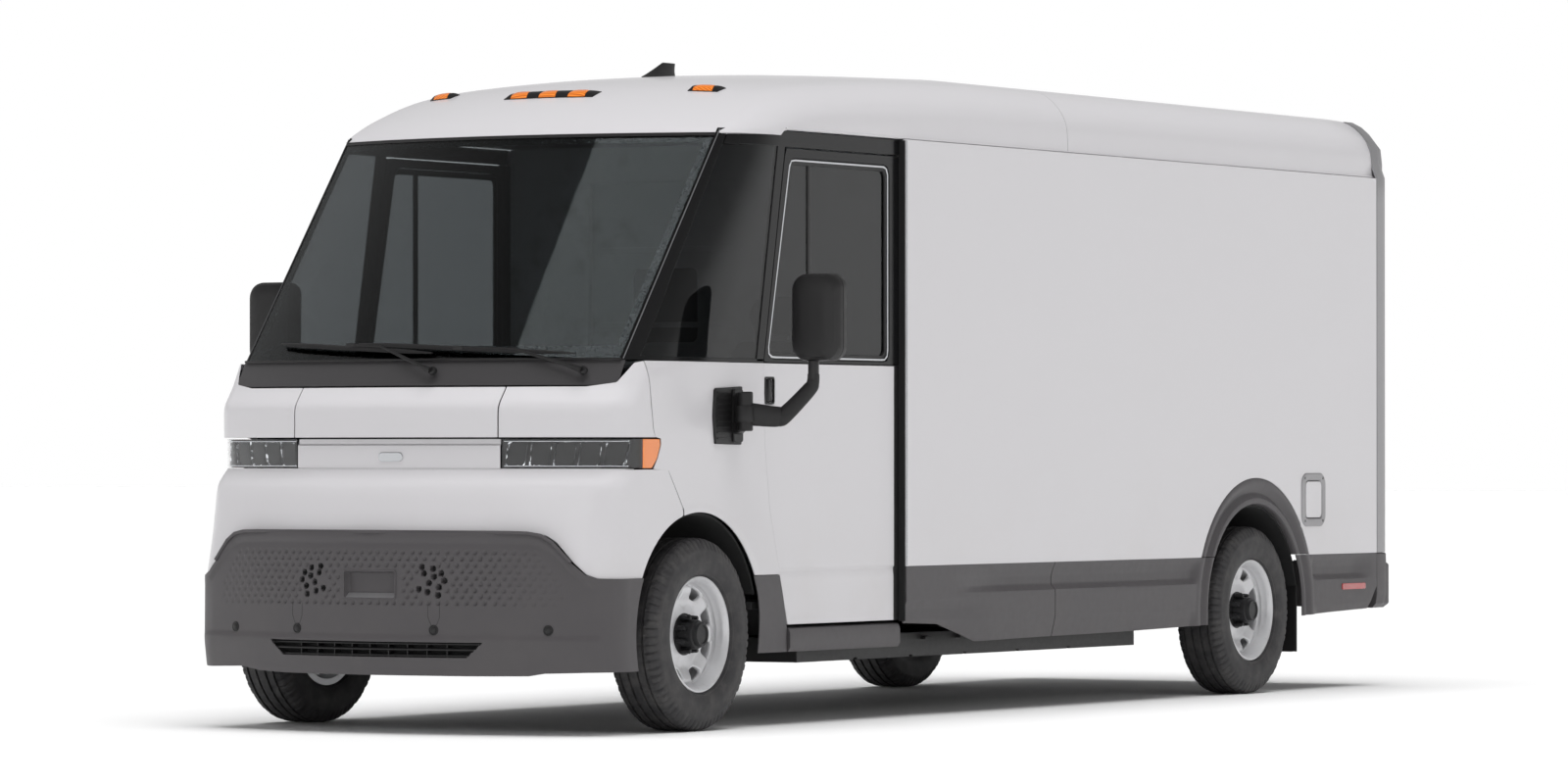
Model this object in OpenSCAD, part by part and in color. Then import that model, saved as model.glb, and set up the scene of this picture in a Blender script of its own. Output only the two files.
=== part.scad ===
// Electric walk-in delivery truck: nose to -Y, driver's side to +X, ground at Z = 0.
// Places along the truck are given as distances behind the front axle.

/* [Overall] */
// Length over the bumpers
overall_l = 6882; // [6400:1:7400]
// Width over the cargo side panels
body_w = 1930; // [1800:1:2100]
// Height of the roof at its crown
roof_h = 2605; // [2450:1:2800]
// Distance between the axles
wheelbase = 4661; // [4300:1:4900]
// Distance from the front axle to the tip of the front bumper
front_overhang = 850; // [820:1:900]

/* [Wheels] */
// Radius of a tyre
tyre_r = 366; // [345:1:372]
// Width of a tyre
tyre_w = 222; // [200:1:226]
// Distance between the left and right tyre centres
track = 1698; // [1650:1:1720]
// Radius of the rim's bead seat
bead_r = 203; // [198:1:206]
// Radius of the wheel spindles
spindle_r = 30; // [25:1:34]
// Radius of the wheel arches
arch_r = 462; // [455:1:470]
// Radius of the flared outer edge of the rear arches
flare_r = 578; // [560:1:590]
// Distance of the steering axis from the centre plane
kingpin_x = 705; // [695:1:710]

/* [Nose] */
// Radius of the nose and windshield in plan view
nose_r = 2174; // [1900:1:2600]
// Half width of the hood and nose strip
hood_half = 460; // [400:1:520]
// Wall of the painted nose panels
nose_t = 14; // [8:1:20]
// Thickness of the windshield
glass_t = 6; // [4:1:8]
// Height of the hood's lower edge
hood_z0 = 1108; // [1100:1:1116]
// Height of the hood's upper edge
hood_z1 = 1300; // [1296:1:1303]

/* [Cab and doors] */
// Half width over the cab skin and doors
cab_half = 935; // [925:1:938]
// Wall of the cab's side panels
cab_t = 16; // [10:1:20]
// Thickness of a cab door
door_t = 43; // [30:1:46]
// Height of the window sills
belt_z = 1400; // [1350:1:1450]
// Height of the lower edge of a cab door
door_z0 = 386; // [384:1:420]
// Height of the upper edge of a cab door
door_z1 = 2233; // [2150:1:2234]

/* [Cargo body] */
// Thickness of the cargo side skins
skin_t = 18; // [10:1:20]
// Front edge of the cargo side skins, behind the front axle
cargo_y0 = 1545; // [1500:1:1580]
// Rear edge of the cargo side skins, behind the front axle
cargo_y1 = 5940; // [5900:1:5960]
// Joint between the front and rear roof shells, behind the front axle
roof_seam_y = 2960; // [2700:1:3200]
// Lower edge of the roof shells
roof_z0 = 2300; // [2290:1:2310]
// Wall of the roof shells
roof_t = 16; // [10:1:24]
// Top of the cargo floor
floor_z = 660; // [640:1:680]
// Top of the cab floor
cab_floor_z = 480; // [470:1:500]
// Thickness of a rear door
rear_door_t = 25; // [18:1:27]

/* [Clearances] */
// Gap between a seated piece and its neighbour
seat_gap = 0.3; // [0.2:0.1:0.6]
// Gap round a moving panel
panel_gap = 3; // [2:0.5:6]
// Radial running clearance of a shaft in its bore
run_gap = 0.05; // [0.02:0.01:0.1]

/* [Hidden] */
$fn = 64;

half_w = body_w / 2;
front_y = -overall_l / 2;
axle_y = front_y + front_overhang;
rear_axle = wheelbase;
tail = overall_l - front_overhang;
hub_z = tyre_r;
tyre_x = track / 2;

white = [0.86, 0.85, 0.87];
dark = [0.26, 0.25, 0.26];
black = [0.06, 0.06, 0.07];
metal = [0.55, 0.56, 0.58];
amber = [0.95, 0.45, 0.05];
red = [0.75, 0.05, 0.05];
clear = [0.55, 0.62, 0.66, 0.4];

// ---- helpers ----

// Moves its children from distances behind the front axle to the truck's own frame
module placed()
    translate([0, axle_y, 0])
        children();

// Draws its children on both sides
module both_sides() {
    children();
    mirror([1, 0, 0])
        children();
}

// A box from its lowest to its highest corner
module block(low, high)
    translate(low)
        cube(high - low);

// A side-view outline, [distance behind axle, height], as a plate from x0 to x1
module side_plate(points, x0, x1)
    translate([x0, 0, 0])
        rotate([90, 0, 90])
            linear_extrude(x1 - x0)
                polygon(points);

// A front-view outline, [x, height], as a plate from y0 to y1
module front_plate(points, y0, y1)
    translate([0, y1, 0])
        rotate([90, 0, 0])
            linear_extrude(y1 - y0)
                polygon(points);

// A round bar or hole along X
module bar_x(x0, x1, y, z, r)
    translate([x0, y, z])
        rotate([0, 90, 0])
            cylinder(h = x1 - x0, r = r);

// Places across a bowed wall, from -reach to reach, where its flat facets meet
bow_step = 55;
function bow_places(reach) = concat(
    [-reach],
    [for (i = [-floor(reach / bow_step) : floor(reach / bow_step)])
        if (abs(i * bow_step) < reach - 4) i * bow_step],
    [reach]
);
function bow_points(line, places, depth) =
    [for (p = line, x = places) [x, p[0] + depth + bow_back(x), p[1]]];

// A wall bowed in plan view, whose middle runs through the points of line, [y, z], from the bottom up
module bowed_chain(line, wall, reach) {
    places = bow_places(reach);
    n = len(places);
    back = n * len(line);
    top = n * (len(line) - 1);
    polyhedron(
        concat(bow_points(line, places, 0), bow_points(line, places, wall)),
        concat(
            [for (k = [0 : len(line) - 2], i = [0 : n - 2])
                [k * n + i, k * n + n + i, k * n + n + i + 1, k * n + i + 1]],
            [for (k = [0 : len(line) - 2], i = [0 : n - 2])
                [back + k * n + i, back + k * n + i + 1, back + k * n + n + i + 1, back + k * n + n + i]],
            [for (i = [0 : n - 2]) [i, i + 1, back + i + 1, back + i]],
            [for (i = [0 : n - 2]) [top + i, back + top + i, back + top + i + 1, top + i + 1]],
            [for (k = [0 : len(line) - 2])
                [k * n, back + k * n, back + k * n + n, k * n + n]],
            [for (k = [1 : len(line) - 1])
                [k * n - 1, k * n + n - 1, back + k * n + n - 1, back + k * n - 1]]
        )
    );
}
module bowed_wall(low, high, wall, reach)
    bowed_chain([low, high], wall, reach);

// How far the bow carries the nose back at x
function bow_back(x) = nose_r - sqrt(nose_r * nose_r - x * x);
side_back = bow_back(cab_half);

// ---- middle line of the nose, [behind front axle, height] ----
tip = -front_overhang;
chin = [tip + 16, 240];
bumper_low = [tip, 330];
bumper_high = [tip + 2, 700];
bumper_rim = [tip + 12, 755];
apron_low = [tip + 60, 755];
apron_high = [tip + 85, 920];
shelf_back = [tip + 156, 992];
strip_high = [tip + 156, hood_z0 - 2];
hood_low = [tip + 136, hood_z0];
hood_mid = [tip + 138, 1228];
hood_high = [tip + 195, hood_z1];
cowl_low = [tip + 197, hood_z1 + 10];
glass_low = [tip + 252, belt_z - 2];
glass_high = [96, 2274];

// Front edge of a cab door, from the sill up
door_edge = [[671, door_z0], [530, 834], [493, 1087], [482, 1286], [484, belt_z], [648, door_z1]];

function shifted(points, dy) = [for (p = points) [p[0] + dy, p[1]]];
function reversed(points) = [for (i = [len(points) - 1 : -1 : 0]) points[i]];

// Rear arch or front arch hole
module arch_hole(y, r, x0, x1)
    bar_x(x0, x1, y, hub_z, r);

// ---- frame, floor and running gear ----

rail_in = 430;
rail_out = 500;
rail_z0 = 330;
rail_z1 = cab_floor_z - 30;
kick_y = 3950;
rear_rail_z0 = 500;
under_floor = floor_z - 30;
pocket_in = half_w - skin_t - 67;

module chassis_frame()
    color(black)
        placed() {
            both_sides() {
                block([rail_in, -560, rail_z0], [rail_out, kick_y, rail_z1]);
                block([rail_in, kick_y - 60, rail_z0], [rail_out, kick_y + 60, under_floor]);
                block([rail_in, kick_y, rear_rail_z0], [rail_out, tail - 100, under_floor]);
            }
            // Brackets that carry the front bumper
            both_sides()
                block([rail_in + 10, tip + 3 + nose_t + bow_back(rail_out - 10) + seat_gap, rail_z0 + 10],
                      [rail_out - 10, -540, rail_z1 - 20]);
            for (y = [-540, 640, 3860])
                block([-rail_in, y, rail_z0 + 20], [rail_in, y + 60, rail_z1 - 15]);
            for (y = [kick_y + 260, tail - 240])
                block([-rail_in, y, rear_rail_z0 + 20], [rail_in, y + 60, under_floor]);
            for (y = [1680, 2300, 2900, 3500])
                block([-pocket_in + 30, y, rail_z1], [pocket_in - 30, y + 60, under_floor]);
        }

pack_y0 = 960;
pack_y1 = 3820;
pack_lip = 12;

module battery_pack()
    color(dark)
        placed() {
            block([-rail_in + 4, pack_y0, 232], [rail_in - 4, pack_y1, rail_z1 - 8]);
            difference() {
                block([-800, pack_y0, 232], [800, pack_y1, rail_z0 - seat_gap]);
                for (y = [pack_y0 + 450 : 450 : pack_y1 - 300])
                    block([-801, y, 231], [801, y + 24, 240]);
            }
            for (x = [-812, 812], y = [pack_y0 + 120 : 290 : pack_y1])
                block([x - pack_lip, y, 300], [x + pack_lip, y + 60, 312]);
        }

well_in = 535;
toe_y = -330;
box_in = 690;

// The floor is lower under the bulkhead, its door and the linings; the raised cargo floor lies between them
sill_z = floor_z - 6;
hold_y0 = 1590;
hold_y1 = cargo_y1 - 2;

module floor_pan()
    color(dark)
        placed() {
            block([-well_in + 10, toe_y, rail_z1], [well_in - 10, 480, cab_floor_z]);
            block([-pocket_in, 480, rail_z1], [pocket_in, 1530, cab_floor_z]);
            block([-pocket_in, 1500, rail_z1], [pocket_in, 1530, sill_z]);
            difference() {
                union() {
                    block([-pocket_in, 1530, under_floor], [pocket_in, cargo_y1, sill_z]);
                    block([15 - pocket_in, hold_y0, sill_z - 1], [pocket_in - 15, hold_y1, floor_z]);
                }
                both_sides()
                    block([box_in, rear_axle - arch_r - 12, under_floor - 1],
                          [pocket_in + 1, rear_axle + arch_r + 12, floor_z + 1]);
            }
            // Seat pedestal
            block([270, 900, cab_floor_z], [630, 1240, 740]);
        }

arm_z = 236;
strut_r = 22;
leaf_t = 12;
axle_r = 38;

module suspension()
    color(black)
        placed() {
            // Front subframe, lower arms and struts
            block([-rail_out, -90, arm_z], [rail_out, 90, rail_z0]);
            both_sides() {
                block([rail_out, -48, arm_z], [kingpin_x + 26, 48, arm_z + 24]);
                translate([kingpin_x, 0, 470 + seat_gap])
                    cylinder(h = hub_z + arch_r - 12 - 470 - 2 * seat_gap, r = strut_r);
            }
            // Rear axle with its drive unit, spindles and leaf springs
            bar_x(-tyre_x + tyre_w / 2 + 5, tyre_x - tyre_w / 2 - 5, rear_axle, hub_z, axle_r);
            bar_x(-250, 250, rear_axle, hub_z, 105);
            both_sides() {
                bar_x(tyre_x - tyre_w / 2 - 5, hub_x + 60, rear_axle, hub_z, spindle_r);
                for (i = [0 : 2]) {
                    reach = 620 - 150 * i;
                    block([rail_in + 8, rear_axle - reach, hub_z + axle_r + 2 * leaf_t - i * leaf_t],
                          [rail_out - 8, rear_axle + reach, hub_z + axle_r + 3 * leaf_t - i * leaf_t]);
                }
                for (s = [-1, 1])
                    block([rail_in + 16, rear_axle + s * 600 - 20, hub_z + axle_r + 3 * leaf_t],
                          [rail_out - 16, rear_axle + s * 600 + 20, rear_rail_z0]);
            }
        }

liner_t = 10;
mud_flap_y = rear_axle + arch_r - 14;

// A quarter-open tunnel over one wheel, with its inner wall
module liner(y, x_in, x_out, z_low)
    difference() {
        bar_x(x_in, x_out, y, hub_z, arch_r);
        bar_x(x_in + liner_t, x_out + 1, y, hub_z, arch_r - liner_t);
        block([x_in - 1, y - arch_r - 1, -arch_r], [x_out + 1, y + arch_r + 1, z_low]);
    }

module wheel_liners()
    color(dark)
        placed()
            both_sides() {
                liner(0, well_in - liner_t, cab_half - cab_t - seat_gap, rail_z1 + 60);
                difference() {
                    liner(rear_axle, box_in, half_w - 26, hub_z + 100);
                    bar_x(box_in - 1, box_in + liner_t + 1, rear_axle, hub_z, axle_r + 60);
                }
                block([tyre_x - 104, mud_flap_y, 173], [clad_in - 1, mud_flap_y + 8, hub_z + 112]);
            }

// ---- nose ----

// The dark bumper's part of the front view
bumper_mask = [
    [-1000, 200], [1000, 200], [1000, 584], [850, 584], [705, 755],
    [-705, 755], [-850, 584], [-1000, 584]
];
fascia_mask = [
    [-1000, 584], [-850, 584], [-701, 760], [701, 760], [850, 584],
    [1000, 584], [1000, 1000], [-1000, 1000]
];
nose_line = [chin, bumper_low, bumper_high, bumper_rim];
apron_line = [apron_low, apron_high, shelf_back];
cheek_line = [hood_low, hood_mid, hood_high];

function on_side(p) = [p[0] + side_back, p[1]];

module nose_side(points)
    both_sides()
        side_plate(points, cab_half - cab_t, cab_half);

module front_fascia()
    color(white)
        placed() {
            difference() {
                union() {
                    intersection() {
                        bowed_chain([[tip + 2, 580], bumper_high, bumper_rim], nose_t, cab_half);
                        front_plate(fascia_mask, -1200, 0);
                    }
                    bowed_chain(apron_line, nose_t, cab_half);
                    bowed_wall(bumper_rim + [nose_t + seat_gap, -10],
                               bumper_rim + [nose_t + seat_gap, 2], 56, 704);
                    nose_side([
                        on_side([tip + 8, 584]), on_side([tip + 16, 755]),
                        on_side(apron_low), on_side(apron_high), on_side(shelf_back),
                        [-222, 992], [-109, 839], [-109, 700], [-250, 584]
                    ]);
                }
                arch_hole(0, arch_r, -1000, 1000);
                front_plate([[-704, 700], [704, 700], [704, 744], [-704, 744]], -1200, 0);
            }
            difference() {
                union() {
                    bowed_chain(cheek_line, nose_t, cab_half);
                    nose_side([
                        on_side(hood_low), on_side(hood_mid), on_side(hood_high),
                        on_side(glass_low), [-369, belt_z - 2], [-327, 1133], [-310, hood_z0]
                    ]);
                }
                block([-hood_half - panel_gap, -1200, 1000], [hood_half + panel_gap, 0, 1400]);
            }
        }

module fenders()
    color(white)
        placed()
            difference() {
                nose_side(concat(
                    [[-369 + 2, belt_z - 2], [-327 + 2, 1133], [-109 + 2, 839], [-109 + 2, 700],
                     [300, 584], [608 - panel_gap, 584]],
                    shifted([door_edge[1], door_edge[2], door_edge[3], [482, belt_z - 2]],
                            -panel_gap)
                ));
                arch_hole(0, arch_r, -1000, 1000);
                nose_side(lamp_side(-268 + panel_gap, -1));
            }

slot_half = 480;
slot_z0 = 290;
slot_z1 = 350;

module grille_slot(grow)
    front_plate([
        [-slot_half + 60 - grow, slot_z0 - grow], [slot_half - 60 + grow, slot_z0 - grow],
        [slot_half + grow, slot_z1 + grow], [-slot_half - grow, slot_z1 + grow]
    ], -1200, -400);

module front_bumper()
    color(dark)
        placed()
            difference() {
                union() {
                    intersection() {
                        bowed_chain(nose_line, nose_t, cab_half + 8);
                        front_plate(bumper_mask, -1200, 0);
                    }
                    both_sides()
                        side_plate([
                            on_side(chin), on_side([tip + 3, 584 - seat_gap]),
                            [-300, 584 - seat_gap], [-300, 240]
                        ], cab_half - cab_t, cab_half + 8);
                }
                arch_hole(0, arch_r, -1000, 1000);
                grille_slot(0);
            }

slat_t = 5;

module bumper_grille()
    color(black)
        placed()
            intersection() {
                grille_slot(-seat_gap);
                difference() {
                    bowed_chain([chin + [4, 0], bumper_low + [4, 0], bumper_high + [4, 0]], 12, cab_half);
                    for (i = [-11 : 11])
                        block([i * 42 - 21 + slat_t, -900, slot_z0 + 8],
                              [i * 42 + 21 - slat_t, -400, slot_z1 - 26]);
                    block([-600, -900, slot_z1 - 20], [600, -400, slot_z1 - 6]);
                }
            }

module nose_panel()
    color(white)
        placed() {
            bowed_wall(shelf_back + [0, seat_gap], strip_high - [0, 25], nose_t, hood_half);
            bowed_wall(strip_high - [-6, 26], strip_high, nose_t - 8, hood_half - 8);
            // Blank plaque
            translate([0, shelf_back[0] - 3, 1020])
                rotate([90, 0, 0])
                    translate([-55, 0, -3.5])
                        cube([110, 34, 5]);
        }

lamp_gap = 2;
lens_t = 5;

// One lamp's outline in front of x = hood_half, from the nose round to the side
module lamp_band(back, wall, rise)
    difference() {
        bowed_wall(shelf_back + [back, seat_gap + rise], strip_high + [back, -rise], wall, cab_half - back);
        block([-hood_half - lamp_gap, -1200, 900], [hood_half + lamp_gap, 0, 1200]);
    }

function lamp_side(rear, rise) = [
    on_side(shelf_back) + [0, seat_gap + rise], [rear - 67, 992 + seat_gap + rise], [rear - 5, 1083],
    [rear - 12, hood_z0 - 2 - rise], on_side(strip_high) + [0, -rise]
];

module headlamp_housings()
    color(dark)
        placed() {
            difference() {
                lamp_band(lens_t + seat_gap, 70, 0);
                lamp_band(lens_t, 55, 8);
            }
            both_sides()
                difference() {
                    side_plate(lamp_side(-268, 0), cab_half - 70, cab_half - lens_t - seat_gap);
                    side_plate(shifted(lamp_side(-278, 8), 2), cab_half - 55, cab_half);
                    block([0, -1200, 900], [cab_half - 75, 0, 1200]);
                    lamp_band(lens_t - 5, 76, 0);
                }
        }

signal_y = -400;

module headlamp_lenses()
    color(clear)
        placed() {
            lamp_band(0, lens_t, 0);
            both_sides()
                difference() {
                    side_plate(lamp_side(-268, 0), cab_half - lens_t, cab_half);
                    block([0, signal_y, 900], [cab_half + 1, 0, 1200]);
                    lamp_band(0, lens_t + 0.1, 0);
                }
        }

hood_pin = hood_high + [15, -4];

module hood()
    color(white)
        placed() {
            bowed_chain([hood_low + [0, 2], hood_mid, hood_high], nose_t, hood_half - panel_gap);
            // Hinge barrel inside the rear edge, and buffers that rest on the nose strip
            bar_x(-60, 60, hood_pin[0], hood_pin[1], 6);
            for (x = [-140, 140])
                block([x - 14, hood_low[0] + nose_t - 2, strip_high[1] + seat_gap],
                      [x + 14, strip_high[0] + 12, strip_high[1] + 14]);
        }

module cowl_panel()
    color(dark)
        placed()
            difference() {
                bowed_wall(cowl_low, glass_low - [0, seat_gap], 24, cab_half - cab_t - seat_gap);
                for (p = wipers)
                    on_spindle(p, -70)
                        cylinder(h = 140, r = wiper_pin_r + run_gap);
            }

ws_half = 852;

module windshield()
    color(clear)
        placed()
            bowed_wall(glass_low, glass_high, glass_t / cos(glass_lean), ws_half);

pillar_low = [glass_low[0] + bow_back(ws_half + 25), belt_z];
pillar_high = [glass_high[0] + bow_back(ws_half + 25), roof_z0 - seat_gap];
pillar_w = 62;
header_z0 = door_z1 + panel_gap;
post_front = [[484 - 60, belt_z], [648 - 60, header_z0]];

// Just behind the windshield pillar at height z
function pillar_back(z) = [
    pillar_low[0] + pillar_w + seat_gap
        + (z - pillar_low[1]) * (pillar_high[0] - pillar_low[0]) / (pillar_high[1] - pillar_low[1]),
    z
];

module window_frames()
    color(black)
        placed()
            both_sides() {
                // Windshield pillar
                side_plate([
                    pillar_low - [10, 0], pillar_low + [pillar_w, 0], pillar_high + [pillar_w, 0],
                    pillar_high - [10, 0]
                ], ws_half + seat_gap, cab_half);
                // Header over the quarter window and the door
                block([cab_half - cab_t, pillar_high[0] + 30, header_z0],
                      [cab_half, cargo_y0 - seat_gap, roof_z0 - seat_gap]);
                // Post between the quarter window and the door
                side_plate([
                    post_front[0], door_edge[4] - [panel_gap, 0], [648 - panel_gap, header_z0],
                    post_front[1]
                ], cab_half - cab_t, cab_half);
                // Sill under the quarter window
                block([cab_half - cab_t, pillar_low[0] + 40, belt_z - 2 + seat_gap],
                      [cab_half, 484 - panel_gap, belt_z + 14]);
            }

module quarter_windows()
    color(clear)
        placed()
            both_sides()
                side_plate([
                    pillar_back(belt_z + 14 + seat_gap), post_front[0] + [1.5, 14 + seat_gap],
                    post_front[1] - [seat_gap, seat_gap], pillar_back(header_z0 - seat_gap)
                ], cab_half - cab_t + 4, cab_half - cab_t + 4 + glass_t);

// ---- roof ----

shoulder = half_w - 24;
crown = roof_h;
roof_front = [
    [96 - 30, roof_z0 - 24], [96 - 30, roof_z0], [140, crown - 293], [457, crown - 143], [707, crown - 93],
    [1100, crown - 50], [1500, crown - 27], [2200, crown - 6], [roof_seam_y, crown]
];

// Half of the roof's section, [x, height], shrunk by d
function roof_half(d) = [
    [shoulder - d, roof_z0], [shoulder - d, crown - 239], [shoulder - 8 - d, crown - 171],
    [shoulder - 66 - d * 0.8, crown - 98 - d * 0.6], [shoulder - 141 - d * 0.4, crown - 48 - d * 0.9],
    [shoulder - 341, crown - 20 - d], [0, crown - d]
];
function roof_section(d, z0) = concat(
    [[shoulder - d, z0]], roof_half(d),
    reversed([for (p = roof_half(d)) [-p[0], p[1]]]), [[-shoulder + d, z0]]
);

module roof_cap_solid(d, z0)
    intersection() {
        side_plate(concat(
            shifted([for (p = roof_front) [p[0], p[1] - d * (p[1] > roof_z0 + 1 ? 1 : 0)]], d),
            [[roof_seam_y + 50, crown - d], [roof_seam_y + 50, z0], [66 + d, z0]]
        ), -half_w, half_w);
        front_plate(roof_section(d, z0), 0, roof_seam_y + 40);
        translate([0, 96 + nose_r - 30 + d, z0 - 1])
            linear_extrude(1000)
                union() {
                    circle(nose_r, $fn = 180);
                    translate([-half_w, 0])
                        square([body_w, 3000]);
                }
    }

module roof_cap()
    color(white)
        placed()
            difference() {
                roof_cap_solid(0, roof_z0 - 24);
                roof_cap_solid(roof_t, roof_z0 - 30);
                block([-half_w, roof_seam_y, 2000], [half_w, 9000, 3000]);
                // The lower edge is level with the side windows behind the windshield
                block([-half_w - 1, 96 + bow_back(ws_half) + 60, 2000],
                      [half_w + 1, 9000, roof_z0]);
                both_sides()
                    block([ws_half, 0, 2000], [half_w + 1, 9000, roof_z0]);
                // Clears the windshield's top edge
                bowed_wall(glass_high - [60, 60], glass_high + [2, 2.5], 200, ws_half + 1);
            }

module cargo_roof()
    color(white)
        placed()
            difference() {
                front_plate(roof_section(0, roof_z0), roof_seam_y + seat_gap, cargo_y1);
                front_plate(roof_section(roof_t, roof_z0 - 1), roof_seam_y, cargo_y1 - 40);
                front_plate(roof_section(60, roof_z0 - 1), roof_seam_y, cargo_y1 + 1);
            }

lamp_tilt = atan2(150, 317);
antenna_tilt = atan2(23, 400);

// Stands its children on the sloping front of the roof at x
module on_brow(x, y)
    translate([x, y, crown - 143 + (y - 457) * tan(lamp_tilt) + seat_gap])
        rotate([lamp_tilt, 0, 0])
            children();

lamp_spots = [-608, -133, 0, 133, 608];
brow_y = 430;
base_h = 8;

module roof_fittings()
    color(black)
        placed() {
            for (x = [-608, 608])
                on_brow(x, brow_y)
                    difference() {
                        translate([-60, -24, 0])
                            cube([120, 48, base_h + 8]);
                        translate([-45, -14, base_h])
                            cube([90, 28, 20]);
                    }
            on_brow(0, brow_y)
                difference() {
                    translate([-210, -26, 0])
                        cube([420, 52, base_h + 8]);
                    for (x = [-133, 0, 133])
                        translate([x - 45, -14, base_h])
                            cube([90, 28, 20]);
                }
            // Shark-fin antenna
            translate([0, 1150, crown - 50 + 50 * tan(antenna_tilt) + seat_gap])
                rotate([antenna_tilt, 0, 0])
                    side_plate([[0, 0], [230, 0], [230, 46], [205, 54], [175, 54], [30, 12]], -26, 26);
        }

module amber_lenses()
    color(amber)
        placed() {
            for (x = lamp_spots)
                on_brow(x, brow_y)
                    translate([-45 + seat_gap, -14 + seat_gap, base_h + seat_gap])
                        cube([90 - 2 * seat_gap, 28 - 2 * seat_gap, 14]);
            both_sides()
                intersection() {
                    side_plate(lamp_side(-268, 0), cab_half - lens_t, cab_half);
                    block([0, signal_y + seat_gap, 900], [cab_half + 1, 0, 1200]);
                }
        }

// ---- cargo body ----

clad_in = half_w - 25;
clad_z1 = 602;
liner_y0 = 1530 + seat_gap;
post_y = cargo_y0 + 1075;
port_y0 = 5110;
port_y1 = 5345;
port_z0 = 730;
port_z1 = 962;

module cargo_sides()
    color(white)
        placed()
            both_sides() {
                difference() {
                    block([half_w - skin_t, cargo_y0, clad_z1 + seat_gap],
                          [half_w, cargo_y1 - 54, roof_z0 - seat_gap]);
                    arch_hole(rear_axle, flare_r + seat_gap, half_w - 40, half_w + 1);
                    block([0, port_y0, port_z0], [half_w + 1, port_y1, port_z1]);
                }
                difference() {
                    block([pocket_in - 14, liner_y0, sill_z + seat_gap],
                          [pocket_in, cargo_y1 - seat_gap, roof_z0 - seat_gap]);
                    arch_hole(rear_axle, arch_r + 1, 0, half_w);
                }
                // Posts between the lining and the skin, behind the door's pocket
                for (y = [post_y, 3400, cargo_y1 - 160])
                    block([pocket_in, y, floor_z + 300], [half_w - skin_t, y + 40, roof_z0 - seat_gap]);
            }

module side_cladding()
    color(dark)
        placed()
            both_sides() {
                difference() {
                    union() {
                        side_plate([
                            [cargo_y0, 377], [1824, 365], [2150, 287], [rear_axle - 400, 312],
                            [rear_axle - 300, clad_z1], [cargo_y0, clad_z1]
                        ], clad_in, half_w);
                        side_plate([
                            [rear_axle + 300, 327], [5794, 352], [5886, 500], [5886, clad_z1],
                            [rear_axle + 300, clad_z1]
                        ], clad_in, half_w);
                        difference() {
                            arch_hole(rear_axle, flare_r, clad_in, half_w);
                            block([0, 0, -flare_r], [2000, 9000, clad_z1 - 1]);
                        }
                    }
                    arch_hole(rear_axle, arch_r, 0, half_w + 1);
                }
                // Sill under the door, its track inside the skin, and the corner behind the wheel
                block([pocket_in - 20, 560, 283], [cab_half, cargo_y0, door_z0 - panel_gap]);
                block([pocket_in, cargo_y0 - 1, 350], [clad_in + 1, post_y + 40, door_z0 - panel_gap]);
                difference() {
                    side_plate([
                        [300, 283], [678, 283], [671 - panel_gap, door_z0 - panel_gap],
                        [608 - panel_gap, 584 - seat_gap], [300, 584 - seat_gap]
                    ], cab_half - cab_t, cab_half);
                    arch_hole(0, arch_r, 0, half_w);
                }
            }

port_floor = half_w - 80;
port_hinge = [half_w - 6, port_y0 + 46];

module charge_port_frame()
    color(dark)
        placed()
            difference() {
                block([port_floor, port_y0 + seat_gap, port_z0 + seat_gap],
                      [half_w + 3, port_y1 - seat_gap, port_z1 - seat_gap]);
                block([port_floor + 8, port_y0 + 34, port_z0 + 30],
                      [half_w + 4, port_y1 - 30, port_z1 - 30]);
            }

module charge_flap()
    color(white)
        placed() {
            block([half_w - 8, port_y0 + 52, port_z0 + 33],
                  [half_w + 2, port_y1 - 33, port_z1 - 33]);
            translate([port_hinge[0], port_hinge[1], port_z0 + 30 + seat_gap])
                cylinder(h = port_z1 - port_z0 - 60 - 2 * seat_gap, r = 5);
            block([half_w - 8, port_hinge[1], port_z0 + 40], [half_w - 4, port_y0 + 53, port_z1 - 40]);
        }

gate_half = 836;
gate_z0 = floor_z + 2;
gate_z1 = 2286;
gate_y0 = cargo_y1;
gate_y1 = cargo_y1 + 60;
pillar_out = half_w - 8;
gate_pin = [870, gate_y1 + 13];
pin_r = 5;
knuckle_r = 11;
gate_hinges = [900, 1440, 1980];

module rear_frame()
    color(metal)
        placed() {
            difference() {
                front_plate(concat(
                    roof_section(2, clad_z1 + seat_gap)
                ), gate_y0 + seat_gap, gate_y1);
                block([-gate_half, gate_y0 - 1, gate_z0], [gate_half, gate_y1 + 1, gate_z1]);
            }
            both_sides() {
                // Corner trims
                block([pillar_out - 60, cargo_y1 - 54 + seat_gap, clad_z1 + seat_gap],
                      [pillar_out + 2, gate_y0 + seat_gap, roof_z0 - seat_gap]);
                for (z = gate_hinges) {
                    block([gate_pin[0] + 8, gate_y1, z], [gate_pin[0] + 22, gate_y1 + 19, z + 30]);
                    block([gate_pin[0] + 8, gate_y1, z + 62], [gate_pin[0] + 22, gate_y1 + 19, z + 92]);
                    for (rise = [0, 62])
                        translate([gate_pin[0], gate_pin[1], z + rise])
                            cylinder(h = 30, r = knuckle_r);
                    translate([gate_pin[0], gate_pin[1], z])
                        cylinder(h = 92, r = pin_r);
                }
            }
        }

leaf_out = 856;

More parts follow.
